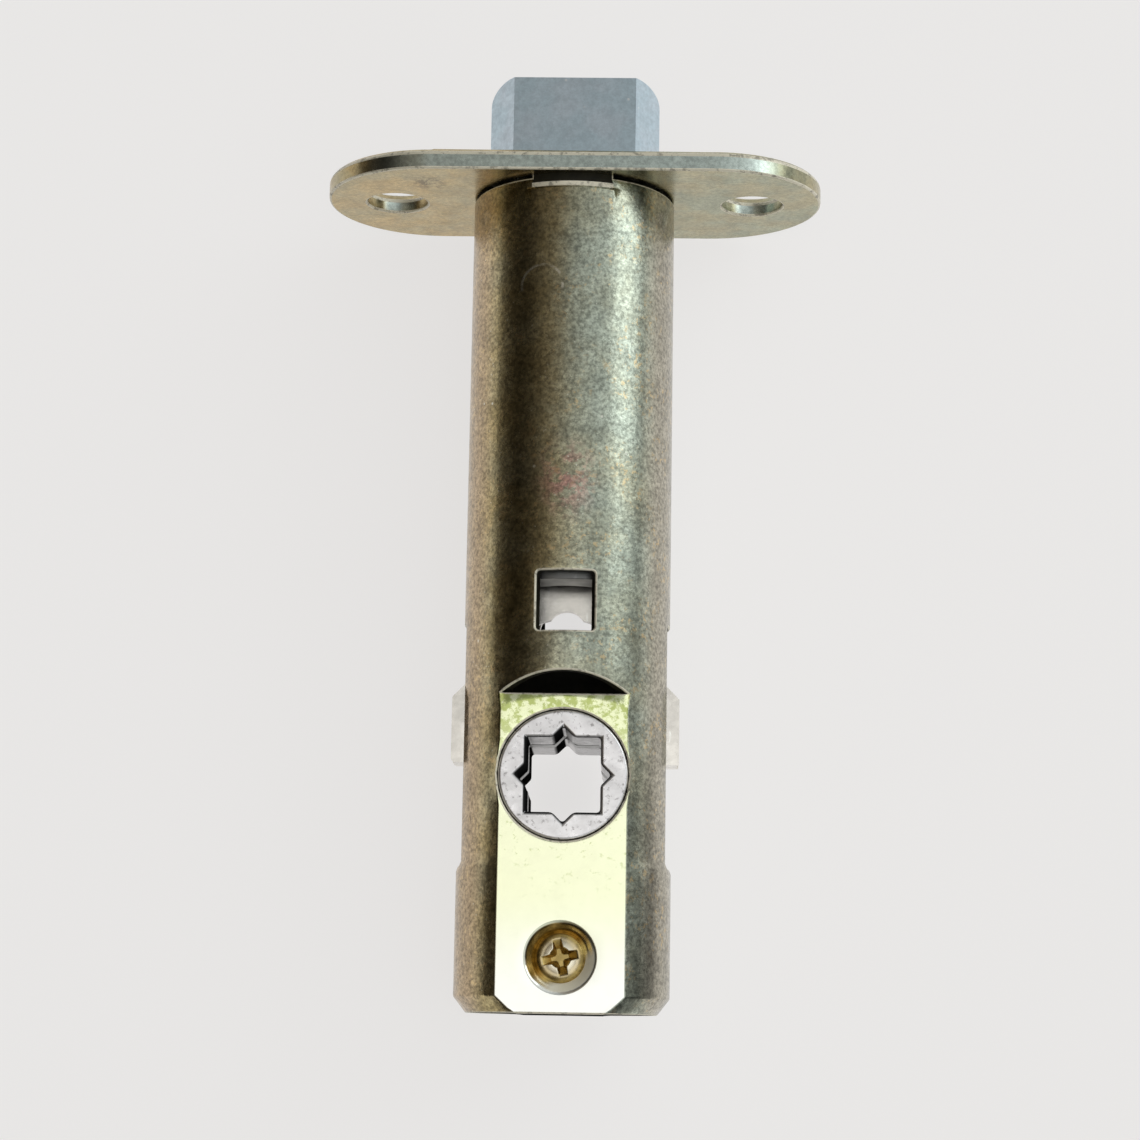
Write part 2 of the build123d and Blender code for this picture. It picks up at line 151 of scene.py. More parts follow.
COLOURS = {
    "zinc_olive": ((0.47, 0.38, 0.19), "Olive brown of the tube's plating"),
    "zinc_green": ((0.47, 0.51, 0.42), "Grey green of the tube's plating"),
    "zinc_tan": ((0.50, 0.38, 0.24), "Tan of the tube's left flank"),
    "zinc_grey": ((0.46, 0.43, 0.35), "Greyer tone of the tube's right flank"),
    "zinc_pink": ((0.60, 0.36, 0.30), "Pinkish brown stain on the tube"),
    "zinc_gold": ((0.80, 0.60, 0.32), "Golden grains on the tube"),
    "zinc_fleck": ((0.92, 0.90, 0.78), "Pale flecks and scratch on the tube"),
    "zinc_pale": ((0.93, 0.95, 0.67), "Pale yellow of the pressed flats"),
    "zinc_white": ((0.98, 0.98, 0.92), "Near white of the flats at the tube's end"),
    "zinc_lime": ((0.84, 0.90, 0.52), "Lime tone of the flats by the arch"),
    "zinc_moss": ((0.42, 0.49, 0.13), "Moss mottled into the flats by the arch"),
    "zinc_speck": ((0.55, 0.62, 0.28), "Green specks on the flats below the hub"),
    # The dimple's three colours are painted light: shade on its steep side, a gold reflection of the screw mottled into
    # it, and a highlight on its other side.
    "dimple_brown": ((0.20, 0.13, 0.035), "Brown of the dimple's steep side"),
    "dimple_gold": ((0.42, 0.28, 0.09), "Gold mottled into the dimple's steep side"),
    "dimple_cream": ((1.0, 0.95, 0.78), "Cream of the dimple's lit side"),
    # The inside's near black is painted shade on the tube's inside, its cut walls and the stakes' roots.
    "inner_dark": ((0.022, 0.020, 0.012), "Dull metal of the tube's inside and cut walls"),
    # The cut edge's cream is a painted highlight on the rounded sheared edges, the stakes' groove and the faceplate's
    # rims.
    "cut_edge": ((0.93, 0.87, 0.70), "Cream of the rounded sheared edges"),
    "plate_gold": ((0.55, 0.41, 0.195), "Tan gold of the faceplate"),
    "plate_green": ((0.39, 0.40, 0.28), "Greenish grey of the faceplate"),
    # The faceplate's narrow side that faces +Z gets a pale grey green as a painted sheen.
    "plate_side": ((0.66, 0.74, 0.68), "Grey green of the faceplate's narrow side"),
    "plate_scuff": ((0.10, 0.07, 0.04), "Scuff on the faceplate"),
    "bolt_blue": ((0.57, 0.69, 0.76), "Blue-grey of the bolt"),
    "bolt_pale": ((0.62, 0.71, 0.78), "Paler clouds on the bolt"),
    "bolt_nick": ((0.85, 0.88, 0.90), "Nicks on the bolt"),
    "hub_silver": ((0.93, 0.91, 0.91), "Matt silver of the hub"),
    "hub_pore": ((0.42, 0.40, 0.40), "Pores of the hub"),
    # Both hole colours are painted shade on the spindle hole's walls, chosen by which way each wall faces.
    "hole_grey": ((0.10, 0.10, 0.10), "Rear walls of the spindle hole"),
    "hole_black": ((0.02, 0.02, 0.02), "Shaded walls of the spindle hole"),
    "yoke_bright": ((0.89, 0.85, 0.78), "Bright zinc of the yoke"),
    "steel_dark": ((0.30, 0.30, 0.29), "Bare steel of springs, cam and washer"),
    "pin_bright": ((0.60, 0.60, 0.60), "Bright steel of pins and rivets"),
    "brass": ((0.62, 0.45, 0.16), "Yellow plating of the end screw"),
    # The screw's pale top is a painted highlight.
    "brass_pale": ((0.97, 0.90, 0.72), "Rubbed plating on top of the end screw"),
    "block_grey": ((0.42, 0.42, 0.41), "Cast zinc of the end block"),
}
SHARES = {
    "zinc_roughness": (0.25, "Roughness of the zinc plate on the round tube"),
    "flat_roughness": (0.15, "Roughness of the pressed flats"),
    "satin_roughness": (0.36, "Roughness of the bolt"),
    "matt_roughness": (0.32, "Roughness of the sintered hub"),
}
STAGE_NUMBERS = {
    "camera_lens": (82.53, "Focal length on a 36 mm sensor"),
    "window_light": (1.38, "Radiance of the window on the right"),
    "top_light": (0.72, "Radiance of the panel above the flats"),
}
STAGE_ANGLES = {
    "camera_pitch": (-0.1783, "Camera pitch"),
    "camera_yaw": (-0.0235, "Camera yaw"),
    "camera_roll": (-0.0168, "Camera roll"),
}
STAGE_COLOURS = {
    "floor_colour": ((0.86, 0.85, 0.84), "Colour of the pale floor"),
    "floor_glow": ((0.955, 0.94, 0.93), "Pale colour that the floor shows by itself"),
}
STAGE_SHARES = {
    "background": (0.86, "How bright the world shows to the camera"),
    "floor_mix": (0.74, "How much of the floor's look is its own pale colour"),
}
STAGE_PLACES = {"camera_place": ((0.007043, -0.098315, 0.292205), "Where the camera stands")}

# Brightness of the world from left to right: place on the colour ramp and level.
SKY = (
    (0.0, 0.12), (0.10, 0.05), (0.17, 0.015), (0.26, 0.05), (0.34, 0.17), (0.42, 0.22),
    (0.50, 0.36), (0.58, 0.54), (0.72, 0.70), (0.93, 0.55), (1.0, 0.35),
)
SKY_WARM = (1.0, 0.88, 0.72)
SKY_COOL = (0.97, 1.0, 1.0)


def properties(kind, rows, **options):
    """Annotations of a property group."""
    made = {}
    for key, (default, text) in rows.items():
        made[key] = kind(name=key.replace("_", " ").capitalize(), description=text, default=default, **options)
    return made


def metres(rows):
    return {key: (value / 1000, text) for key, (value, text) in rows.items()}


def colours(rows):
    return properties(FloatVectorProperty, rows, subtype="COLOR", size=3)


def shares(rows):
    return properties(FloatProperty, rows, min=0, max=1, subtype="FACTOR")


class LatchSizes(PropertyGroup):
    """Sizes of the pressed tube, the springs, the screw and the broken edges."""

    __annotations__ = {
        **properties(FloatProperty, metres(LENGTHS), unit="LENGTH", precision=5),
        **properties(IntProperty, TURNS),
    }


class LatchFinishes(PropertyGroup):
    """Colours and roughness of the latch's finishes."""

    __annotations__ = {**colours(COLOURS), **shares(SHARES)}


class LatchStage(PropertyGroup):
    """Camera, lamps and floor."""

    __annotations__ = {
        **properties(FloatVectorProperty, STAGE_PLACES, subtype="TRANSLATION", unit="LENGTH", precision=5),
        **properties(FloatProperty, STAGE_ANGLES, subtype="ANGLE"),
        **properties(FloatProperty, STAGE_NUMBERS),
        **colours(STAGE_COLOURS),
        **shares(STAGE_SHARES),
    }


def finishes():
    return bpy.context.scene.latch_finishes


def sizes():
    return bpy.context.scene.latch_sizes


# Materials. Patterns read Object coordinates in metres, so a noise scale of 1000 has features of a millimetre.


class Nodes:
    """Node tree whose sockets take values or other nodes' outputs."""

    def __init__(self, tree):
        self.tree = tree

    def node(self, kind, operation=None, **inputs):
        """New node, with inputs by name or, as i0, i1 and so on, by place."""
        made = self.tree.nodes.new("ShaderNode" + kind)
        if operation:
            made.operation = operation
        for name, value in inputs.items():
            self.put(made.inputs[int(name[1:]) if name[1:].isdigit() else name], value)
        return made

    def put(self, socket, value):
        if isinstance(value, bpy.types.NodeSocket):
            self.tree.links.new(value, socket)
        else:
            socket.default_value = (*value, 1) if socket.type == "RGBA" else value

    def maths(self, operation, first, second=0.0, third=0.0, clamp=False):
        made = self.node("Math", operation, i0=first, i1=second, i2=third)
        made.use_clamp = clamp
        return made.outputs[0]

    def less(self, first, second):
        return self.maths("SUBTRACT", first, second)

    def product(self, first, *others):
        for other in others:
            first = self.maths("MULTIPLY", first, other)
        return first

    def ramp(self, value, low, high):
        """Value brought to 0 at low and 1 at high, with soft ends."""
        made = self.node("MapRange", i0=value, i1=low, i2=high)
        made.interpolation_type = "SMOOTHSTEP"
        return made.outputs[0]

    def remap(self, value, low, high, first, last):
        """Value brought from the range low to high to the range first to last."""
        return self.node("MapRange", i0=value, i1=low, i2=high, i3=first, i4=last).outputs[0]

    def mix(self, factor, first, second):
        made = self.node("Mix")
        made.data_type = "RGBA"
        for place, value in ((0, factor), (6, first), (7, second)):
            self.put(made.inputs[place], value)
        return made.outputs[2]


class Finish(Nodes):
    """Finish that ends in one Principled shader. Its tone is the base colour so far, over which others are laid."""

    def __init__(self, name, metallic=1.0):
        self.material = bpy.data.materials.new(name)
        self.material.use_nodes = True
        super().__init__(self.material.node_tree)
        self.shader = self.tree.nodes["Principled BSDF"]
        self.give("Metallic", metallic)
        self.place = self.node("TexCoord").outputs["Object"]
        self.x, self.y, self.z = self.node("SeparateXYZ", Vector=self.place).outputs

    def give(self, name, value):
        self.put(self.shader.inputs[name], value)

    def facing(self):
        """X, Y and Z of the surface's normal."""
        return self.node("SeparateXYZ", Vector=self.node("TexCoord").outputs["Normal"]).outputs

    def noise(self, scale, detail=3.0, roughness=0.55, stretch=None):
        """Noise, over coordinates that a stretch scales apart along X, Y and Z."""
        place = self.node("Mapping", Vector=self.place, Scale=stretch).outputs[0] if stretch else self.place
        return self.node("TexNoise", Vector=place, Scale=scale, Detail=detail, Roughness=roughness).outputs["Fac"]

    def clouds(self, low, high, *noise):
        """Noise brought to 0 at low and 1 at high."""
        return self.ramp(self.noise(*noise), low, high)

    def shades(self, low, high, first, last, *noise):
        """Noise brought from the range low to high to the range first to last."""
        return self.remap(self.noise(*noise), low, high, first, last)

    def vary(self, base, by, scale):
        """Value that varies about a base in clouds."""
        return self.shades(0.3, 0.7, base - by, base + by, scale, 2.0)

    def dots(self, outer, inner, scale):
        """1 within the inner distance of scattered points and 0 beyond the outer one."""
        cells = self.node("TexVoronoi", Vector=self.place, Scale=scale)
        return self.ramp(cells.outputs["Distance"], outer, inner)

    def reach(self, x, y):
        """Distance in X and Y: the root of x x + y y."""
        return self.maths("SQRT", self.maths("ADD", self.product(x, x), self.product(y, y)))

    def near(self, centre, radii):
        """1 at a centre, falling to 0 at an ellipsoid of the given radii."""
        shift = self.node("VectorMath", i0=self.place, i1=tuple(-c for c in centre))
        scale = self.node("VectorMath", "MULTIPLY", i0=shift.outputs[0], i1=tuple(1 / r for r in radii))
        size = self.node("VectorMath", "LENGTH", i0=scale.outputs[0])
        return self.ramp(size.outputs["Value"], 1.0, 0.0)

    def scaled(self, colour, factor):
        return self.node("VectorMath", "SCALE", i0=colour, i3=factor).outputs[0]

    def mottle(self, colour, share, *clouds):
        """Sets the tone to a colour that clouds darken to a share of it."""
        self.tone = self.mix(self.clouds(*clouds), tuple(share * c for c in colour), colour)

    def over(self, factor, colour):
        self.tone = self.mix(factor, self.tone, colour)

    def shade(self, *factors):
        self.tone = self.scaled(self.tone, self.product(*factors))

    def close(self, roughness, *bumps):
        """Material with the tone, a roughness and bumps, each a strength, a distance and the figures of a noise."""
        self.give("Base Color", self.tone)
        self.give("Roughness", roughness)
        before = {}
        for strength, distance, *noise in bumps:
            bump = self.node("Bump", Height=self.noise(*noise), Strength=strength, Distance=distance, **before)
            before = {"Normal": bump.outputs[0]}
        if before:
            self.give("Normal", before["Normal"])
        return self.material


def scratch(skin, centre, radius, width, below):
    """Thin arc on the tube: 1 on a circle about a centre in X and Y, above a given Y."""
    far = skin.reach(skin.less(skin.x, centre[0]), skin.less(skin.y, centre[1]))
    off = skin.maths("ABSOLUTE", skin.less(far, radius))
    part = skin.ramp(skin.y, below, below + 0.0004)
    worn = skin.clouds(0.35, 0.5, 900, 2.0)
    return skin.product(skin.ramp(off, width, width * 0.3), part, worn, skin.ramp(skin.z, 0, 0.002))


def zinc_skin():
    """Yellow zinc plate of the tube: olive on the left, grey green on the right, tan and grey flanks.

    Fine grain, golden grains, a pinkish stain, a curved scratch and pale flecks lie over these.
    """
    look = finishes()
    skin = Finish("tube_zinc_finish")
    blend = skin.maths("MULTIPLY_ADD", skin.clouds(0.3, 0.7, 120, 4.0, 0.6), 0.35, -0.05)
    blend = skin.maths("MULTIPLY_ADD", skin.ramp(skin.x, -0.006, 0.0035), 0.75, blend, clamp=True)
    skin.tone = skin.mix(blend, look.zinc_olive, look.zinc_green)
    flank = skin.mix(skin.ramp(skin.x, -0.004, 0.004), look.zinc_tan, look.zinc_grey)
    aside = skin.maths("ABSOLUTE", skin.x)
    skin.over(skin.ramp(aside, TUBE_RADIUS * 0.68, TUBE_RADIUS * 0.88), flank)
    stain = skin.near((-0.0002, -0.0375, TUBE_RADIUS), (0.0046, 0.0058, 0.006))
    skin.over(skin.product(stain, skin.clouds(0.44, 0.58, 750, 4.0, 0.7)), look.zinc_pink)
    skin.shade(skin.shades(0.36, 0.64, 0.56, 1.28, 2300, 3.0, 0.7), skin.shades(0.34, 0.66, 0.84, 1.1, 320, 3.0, 0.6))
    grains = skin.product(skin.clouds(0.55, 0.64, 1500, 3.0, 0.7), skin.clouds(0.44, 0.6, 210, 2.0), 0.6)
    skin.over(grains, look.zinc_gold)
    flecks = skin.product(skin.dots(0.10, 0.05, 420), skin.clouds(0.55, 0.66, 240, 2.0))
    fine = skin.product(skin.dots(0.15, 0.07, 1500), skin.clouds(0.46, 0.60, 260, 2.0), 0.7)
    arc = scratch(skin, (-0.0032, -0.0153), 0.0023, 0.0002, -0.0160)
    for more in (fine, arc, skin.product(stain, skin.dots(0.16, 0.08, 1300))):
        flecks = skin.maths("MAXIMUM", flecks, more)
    skin.over(skin.product(flecks, 0.8), look.zinc_fleck)
    roughness = skin.vary(look.zinc_roughness, 0.07, 800)
    return skin.close(roughness, (0.45, 0.00003, 2200, 3.0, 0.7), (0.16, 0.00008, 480, 3.0, 0.6))


def flat_skin():
    """Pressed flats: pale yellow, near white at the tube's end, mossy by the arch, with painted shade and a gold
    painted reflection on the dimple's steep side and a cream painted highlight on its other side.
    """
    look = finishes()
    skin = Finish("flat_zinc_finish")
    skin.tone = skin.mix(skin.ramp(skin.y, HUB_Y - 0.012, TUBE_LOW.y + 0.001), look.zinc_pale, look.zinc_white)
    fade = skin.ramp(skin.y, HUB_Y - 0.001, HUB_Y + 0.0075)
    skin.over(skin.product(fade, 0.5), look.zinc_lime)
    skin.over(skin.product(skin.clouds(0.56, 0.43, 850, 4.0, 0.7), fade, 0.85), look.zinc_moss)
    below = skin.ramp(skin.y, HUB_Y - 0.016, HUB_Y - 0.005)
    skin.over(skin.product(skin.clouds(0.42, 0.30, 1100, 3.0, 0.7), below, 0.7), look.zinc_speck)
    # Painted light on the dimple: shade with a gold reflection on its steep side, and a highlight that is not metallic
    # on its other side.
    lean = skin.less(skin.less(skin.y, SCREW_Y), skin.product(skin.x, 0.8))
    sunk = skin.ramp(skin.z, FLAT_HEIGHT - 0.00004, FLAT_HEIGHT - 0.00022)
    steep = skin.product(skin.ramp(lean, -0.0016, 0.0006), sunk, skin.ramp(skin.z, 0, 0.001))
    skin.over(steep, skin.mix(skin.clouds(0.35, 0.65, 900, 3.0), look.dimple_brown, look.dimple_gold))
    lit = skin.product(skin.ramp(lean, -0.0012, -0.0028), sunk)
    skin.over(lit, look.dimple_cream)
    skin.give("Metallic", skin.less(1.0, lit))
    roughness = skin.vary(look.flat_roughness, 0.04, 600)
    return skin.close(roughness, (0.10, 0.00003, 1500, 3.0, 0.7), (0.06, 0.0001, 350, 2.0))


def inside_shade_skin():
    """Painted shade on the tube's inside, its cut walls and the stakes' roots: near black and dull, a little mottled.
    """
    skin = Finish("tube_inside_painted_shade", 0.0)
    skin.mottle(finishes().inner_dark, 0.55, 0.35, 0.65, 500, 3.0)
    skin.give("Specular IOR Level", 0.15)
    return skin.close(skin.vary(0.5, 0.08, 700), (0.2, 0.00003, 1200, 3.0))


def highlight_edge_skin():
    """Rounded sheared edges: cream painted highlight, with the burr's fine breaks."""
    skin = Finish("sheared_edge_highlight_finish", 0.3)
    skin.mottle(finishes().cut_edge, 0.5, 0.34, 0.5, 1100, 3.0, 0.7)
    return skin.close(skin.vary(0.42, 0.06, 900), (0.2, 0.00003, 1500, 3.0))


def plate_skin():
    """Faceplate: tan gold on the left, greenish grey on the right, with fine grain, a faint scuff and a painted sheen
    on its narrow side facing +Z.
    """
    look = finishes()
    skin = Finish("plate_zinc_finish")
    blend = skin.maths("MULTIPLY_ADD", skin.clouds(0.32, 0.68, 190, 4.0, 0.6), 0.5)
    blend = skin.maths("MULTIPLY_ADD", skin.ramp(skin.x, -0.012, 0.016), 0.6, blend, clamp=True)
    skin.tone = skin.mix(blend, look.plate_gold, look.plate_green)
    grain = skin.shades(0.36, 0.64, 0.78, 1.12, 2000, 3.0, 0.7)
    skin.shade(grain, skin.shades(0.34, 0.66, 0.88, 1.08, 300, 3.0))
    scuff = skin.near((-0.0165, PLATE_LOW.y, 0.0075), (0.0030, 0.002, 0.0034))
    skin.over(skin.product(scuff, skin.clouds(0.55, 0.44, 900, 3.0, 0.8), 0.8), look.plate_scuff)
    # Painted sheen: faces turned to +Z, towards the overhead light, take a paler grey green.
    skin.over(skin.ramp(skin.facing()[2], 0.8, 0.95), skin.scaled(look.plate_side, grain))
    roughness = skin.vary(look.zinc_roughness, 0.06, 500)
    return skin.close(roughness, (0.2, 0.00003, 1700, 4.0, 0.7), (0.12, 0.0001, 260, 2.0))


def satin_skin():
    """Bolt: blue-grey satin with a fine tumbled grain and a few pale nicks."""
    look = finishes()
    skin = Finish("bolt_satin_finish")
    skin.tone = skin.mix(skin.clouds(0.35, 0.65, 220, 3.0), look.bolt_blue, look.bolt_pale)
    skin.shade(skin.shades(0.36, 0.64, 0.9, 1.07, 1800, 3.0, 0.7))
    skin.over(skin.product(skin.dots(0.12, 0.05, 520), skin.clouds(0.54, 0.64, 300, 2.0)), look.bolt_nick)
    lines = (0.10, 0.00004, 1.0, 3.0, 0.6, (900, 160, 900))
    return skin.close(skin.vary(look.satin_roughness, 0.05, 700), lines, (0.12, 0.00003, 1400, 3.0))


def sintered_skin():
    """Hub: matt sintered silver with a fine grain, darker pores and painted shade on the walls of the spindle hole."""
    look = finishes()
    skin = Finish("hub_metal_finish")
    skin.tone = skin.mix(skin.clouds(0.32, 0.46, 1500, 4.0, 0.75), look.hub_pore, look.hub_silver)
    skin.shade(skin.shades(0.34, 0.66, 0.9, 1.08, 420, 3.0))
    facing = skin.facing()
    # Painted shade: walls of the spindle hole turn grey or black by which way they face, and lose their gloss.
    hole = skin.ramp(skin.reach(skin.x, skin.less(skin.y, HUB_Y)), 0.0061, 0.0059)
    skin.over(skin.product(skin.ramp(facing[1], -0.4, -0.9), hole, 0.55), look.hole_grey)
    wall = skin.maths("MAXIMUM", *(skin.ramp(side, 0.1, 0.6) for side in facing[:2]))
    shaded = skin.product(wall, hole)
    skin.over(shaded, look.hole_black)
    skin.give("Specular IOR Level", 0.0)
    skin.give("Metallic", skin.product(skin.less(1.0, shaded), 0.95))
    return skin.close(skin.vary(look.matt_roughness, 0.06, 900), (0.35, 0.00005, 1300, 4.0, 0.7))


def drawn_skin(name, tone, roughness, scale=900):
    """Plain steel or zinc: soft clouds, fine grain and slight streaks along Y."""
    skin = Finish(name)
    skin.mottle(tone, 0.78, 0.35, 0.65, scale / 3, 3.0)
    streaks = skin.clouds(0.62, 0.74, 1.0, 3.0, 0.6, (1600, 300, 1600))
    skin.over(streaks, tuple(min(1.0, 1.2 * c) for c in tone))
    return skin.close(skin.vary(roughness, 0.05, scale), (0.15, 0.00003, scale * 1.6, 3.0, 0.6))


def brass_skin():
    """End screw: yellow plating, with a pale painted highlight on its top, so that it stays darker down in the recess.
    """
    look = finishes()
    skin = Finish("screw_brass_finish")
    skin.mottle(look.brass, 0.55, 0.36, 0.64, 900, 3.0)
    # Painted highlight on the screw's top.
    skin.over(skin.ramp(skin.z, SCREW_HIGH.z - 0.00030, SCREW_HIGH.z - 0.00008), look.brass_pale)
    return skin.close(skin.vary(0.28, 0.06, 900), (0.2, 0.00003, 1600, 3.0))


# Mesh making.


def spread(stops, step):
    """Values from stop to stop, evenly spaced within each run at no more than the given step."""
    runs = []
    for first, last in zip(stops, stops[1:]):
        count = max(1, math.ceil(abs(last - first) / step - TOLERANCE))
        runs.append(np.linspace(first, last, count, endpoint=False))
    return np.concatenate(runs + [np.array([stops[-1]])])


def lerp(first, last, shares):
    """Rows of points between two rows: (1 - s) first + s last for each share s."""
    s = np.asarray(shares)[:, None, None]
    return (1 - s) * first[None] + s * last[None]


def mirrored(points, axis):
    """Points reflected through the plane across X (0) or Z (2)."""
    turned = points.copy()
    turned[..., axis] *= -1
    return turned


class Sheet:
    """Grids of points collected as quads, then welded where their points meet."""

    def __init__(self):
        self.points = []
        self.faces = []
        self.slots = []
        self.count = 0

    def grid(self, points, slot=0, gone=None):
        """Quads of a grid of points of shape rows, columns, 3; cells marked gone are left open."""
        rows, columns = points.shape[:2]
        index = np.arange(rows * columns).reshape(rows, columns) + self.count
        quads = np.stack([index[:-1, :-1], index[:-1, 1:], index[1:, 1:], index[1:, :-1]], axis=-1)
        slots = np.broadcast_to(slot, quads.shape[:2])
        kept = np.ones(quads.shape[:2], bool) if gone is None else ~gone
        self.points.append(points.reshape(-1, 3))
        self.faces += quads[kept].tolist()
        self.slots += slots[kept].tolist()
        self.count += rows * columns

    def both(self, axis, *patches):
        """Grids of points, slot and open cells, and then their mirror images."""
        for turned in (False, True):
            for points, *rest in patches:
                self.grid(mirrored(points, axis) if turned else points, *rest)

    def welded(self, outward=None):
        """Points welded where they meet, faces and slots; each normal agrees with outward(centre) where given."""
        points = np.concatenate(self.points)
        first, where = np.unique(np.round(points / WELD), axis=0, return_index=True, return_inverse=True)[1:]
        used, corners = np.unique(where.reshape(-1)[np.array(self.faces)], return_inverse=True)
        points = points[first][used]
        welded = [list(dict.fromkeys(face)) for face in corners.reshape(-1, 4).tolist()]
        slots = [slot for face, slot in zip(welded, self.slots) if len(face) > 2]
        faces = Faces([face for face in welded if len(face) > 2])
        if outward is None:
            return points, faces, slots
        wrong = (outward(faces.centres(points)) * faces.normals(points)).sum(1) < 0
        return points, Faces([face[::-1] if bad else face for face, bad in zip(faces.lists, wrong)]), slots

    def mesh(self, name, outward=None):
        points, faces, slots = self.welded(outward)
        return make_mesh(name, points, faces.lists, slots)

    def shell(self, name, outward, upright, wall, lip, slots):
        """Closed shell of a wall's thickness under the sheet, with every open edge rolled over.

        An inner point is the outer point less its normal times the wall, lengthened at bends so that the wall keeps its
        thickness, or straight down the Z axis where upright(points) says so. Along an open edge the outer face ends in
        a quarter circle p - lip (1 - sin f) m - lip (1 - cos f) n, with m the way off the edge and n the normal.
        """
        points, faces, outer_slots = self.welded(outward)
        normals, lean = faces.point_normals(points)
        straight = upright(points)
        normals[straight] = np.sign(points[straight, 2:]) * (0, 0, 1)
        lean[straight] = 1
        start, end = faces.open_edges()
        along = points[end] - points[start]
        along /= np.linalg.norm(along, axis=1)[:, None]
        off = np.zeros_like(points)
        np.add.at(off, start, np.cross(along, normals[start]))
        np.add.at(off, end, np.cross(along, normals[end]))
        off *= 2 / np.maximum((off**2).sum(1), 0.8)[:, None]
        rim = np.unique(start)
        place = np.zeros(len(points), int)
        place[rim] = np.arange(len(rim))
        turn = np.linspace(0, math.pi / 2, LIP_STEPS + 1)[:, None, None]
        rolled = points[rim] - lip * ((1 - np.sin(turn)) * off[rim] + (1 - np.cos(turn)) * normals[rim])
        outer = points.copy()
        outer[rim] = rolled[0]
        inner = points - wall * normals / lean[:, None]
        count = len(points)
        lips = [2 * count + len(rim) * step + np.arange(len(rim)) for step in range(LIP_STEPS)]
        rows = [rim, *lips, rim + count]
        made = faces.lists + [[corner + count for corner in face[::-1]] for face in faces.lists]
        made_slots = outer_slots + [slots[1]] * len(faces.lists)
        for step, (row, after) in enumerate(zip(rows, rows[1:])):
            band = np.stack([row[place[end]], row[place[start]], after[place[start]], after[place[end]]], axis=-1)
            made += band.tolist()
            made_slots += [slots[step == LIP_STEPS]] * len(band)
        mesh = make_mesh(name, np.concatenate([outer, inner, *rolled[1:]]), made, made_slots)
        mark_bends(mesh, len(faces.lists))
        return mesh


class Faces:
    """Polygons kept both as lists and as flat arrays of corners."""

    def __init__(self, lists):
        self.lists = lists
        self.sizes = np.array([len(face) for face in lists])
        self.corners = np.concatenate(lists)
        self.face = np.repeat(np.arange(len(lists)), self.sizes)
        starts = np.cumsum(self.sizes) - self.sizes
        following = np.arange(len(self.corners)) + 1
        following[starts + self.sizes - 1] = starts
        self.following = self.corners[following]

    def centres(self, points):
        total = np.zeros((len(self.lists), 3))
        np.add.at(total, self.face, points[self.corners])
        return total / self.sizes[:, None]

    def normals(self, points):
        """Unit normals, from the sum of the cross products of neighbouring corners about the face's centre."""
        centre = self.centres(points)[self.face]
        total = np.zeros((len(self.lists), 3))
        np.add.at(total, self.face, np.cross(points[self.corners] - centre, points[self.following] - centre))
        return total / np.linalg.norm(total, axis=1)[:, None]

    def point_normals(self, points):
        """Unit normal at each point and its mean cosine to the faces there."""
        normals = self.normals(points)
        total = np.zeros_like(points)
        np.add.at(total, self.corners, normals[self.face])
        total /= np.linalg.norm(total, axis=1)[:, None]
        lean = np.zeros(len(points))
        np.add.at(lean, self.corners, (total[self.corners] * normals[self.face]).sum(1))
        return total, lean / np.bincount(self.corners, minlength=len(points))

    def open_edges(self):
        """Starts and ends of the edges that have a face on one side only."""
        count = self.corners.max() + 1
        alone = np.isin(self.corners * count + self.following, self.following * count + self.corners, invert=True)
        return self.corners[alone], self.following[alone]


def make_mesh(name, points, faces, slots):
    mesh = bpy.data.meshes.new(name)
    mesh.from_pydata(points, [], faces)
    mesh.polygons.foreach_set("material_index", np.array(slots, np.int32))
    mesh.shade_smooth()
    return mesh


def mark_bends(mesh, outer_faces):
    """Marks the outer faces' pressed bends for the bevel and the other square edges as sharp, on a closed mesh."""
    edges = len(mesh.edges)
    edge = np.empty(len(mesh.loops), np.int32)
    mesh.loops.foreach_get("edge_index", edge)
    normals = np.empty(len(mesh.polygons) * 3)
    mesh.polygons.foreach_get("normal", normals)
    totals = np.empty(len(mesh.polygons), np.int32)
    mesh.polygons.foreach_get("loop_total", totals)
    face = np.repeat(np.arange(len(totals)), totals)
    if (np.bincount(edge, minlength=edges) != 2).any():
        raise RuntimeError("the shell of " + mesh.name + " isn't closed")
    total = np.zeros((edges, 3))
    np.add.at(total, edge, normals.reshape(-1, 3)[face])
    turn = 2 * np.arccos(np.clip(np.linalg.norm(total, axis=1) / 2, 0, 1))
    inside = np.bincount(edge, weights=face >= outer_faces, minlength=edges) > 0
    bent = (turn > BEND_ANGLE) & ~inside
    mesh.attributes.new("bevel_weight_edge", "FLOAT", "EDGE").data.foreach_set("value", bent.astype(np.float32))
    mesh.attributes.new("sharp_edge", "BOOLEAN", "EDGE").data.foreach_set("value", (turn > SHARP_ANGLE) & ~bent)


def add_object(name, data):
    made = bpy.data.objects.new(name, data)
    bpy.context.scene.collection.objects.link(made)
    return made


def place_piece(mesh, materials, body, node):
    """Links a finished mesh as a piece that rides on a body and stands for a CAD node."""
    piece = add_object(mesh.name, mesh)
    for material in materials:
        mesh.materials.append(material)
    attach(piece, body)
    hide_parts(node)
    return piece


def round_edges(piece, width, segments=2, slot=-1, clamp=False):
    """Bevel on the edges marked by weight, with the flat faces' normals kept."""
    bevel = piece.modifiers.new("rounded edges", "BEVEL")
    bevel.material = slot
    bevel.width = width
    bevel.segments = segments
    bevel.limit_method = "WEIGHT"
    bevel.harden_normals = True
    bevel.use_clamp_overlap = clamp


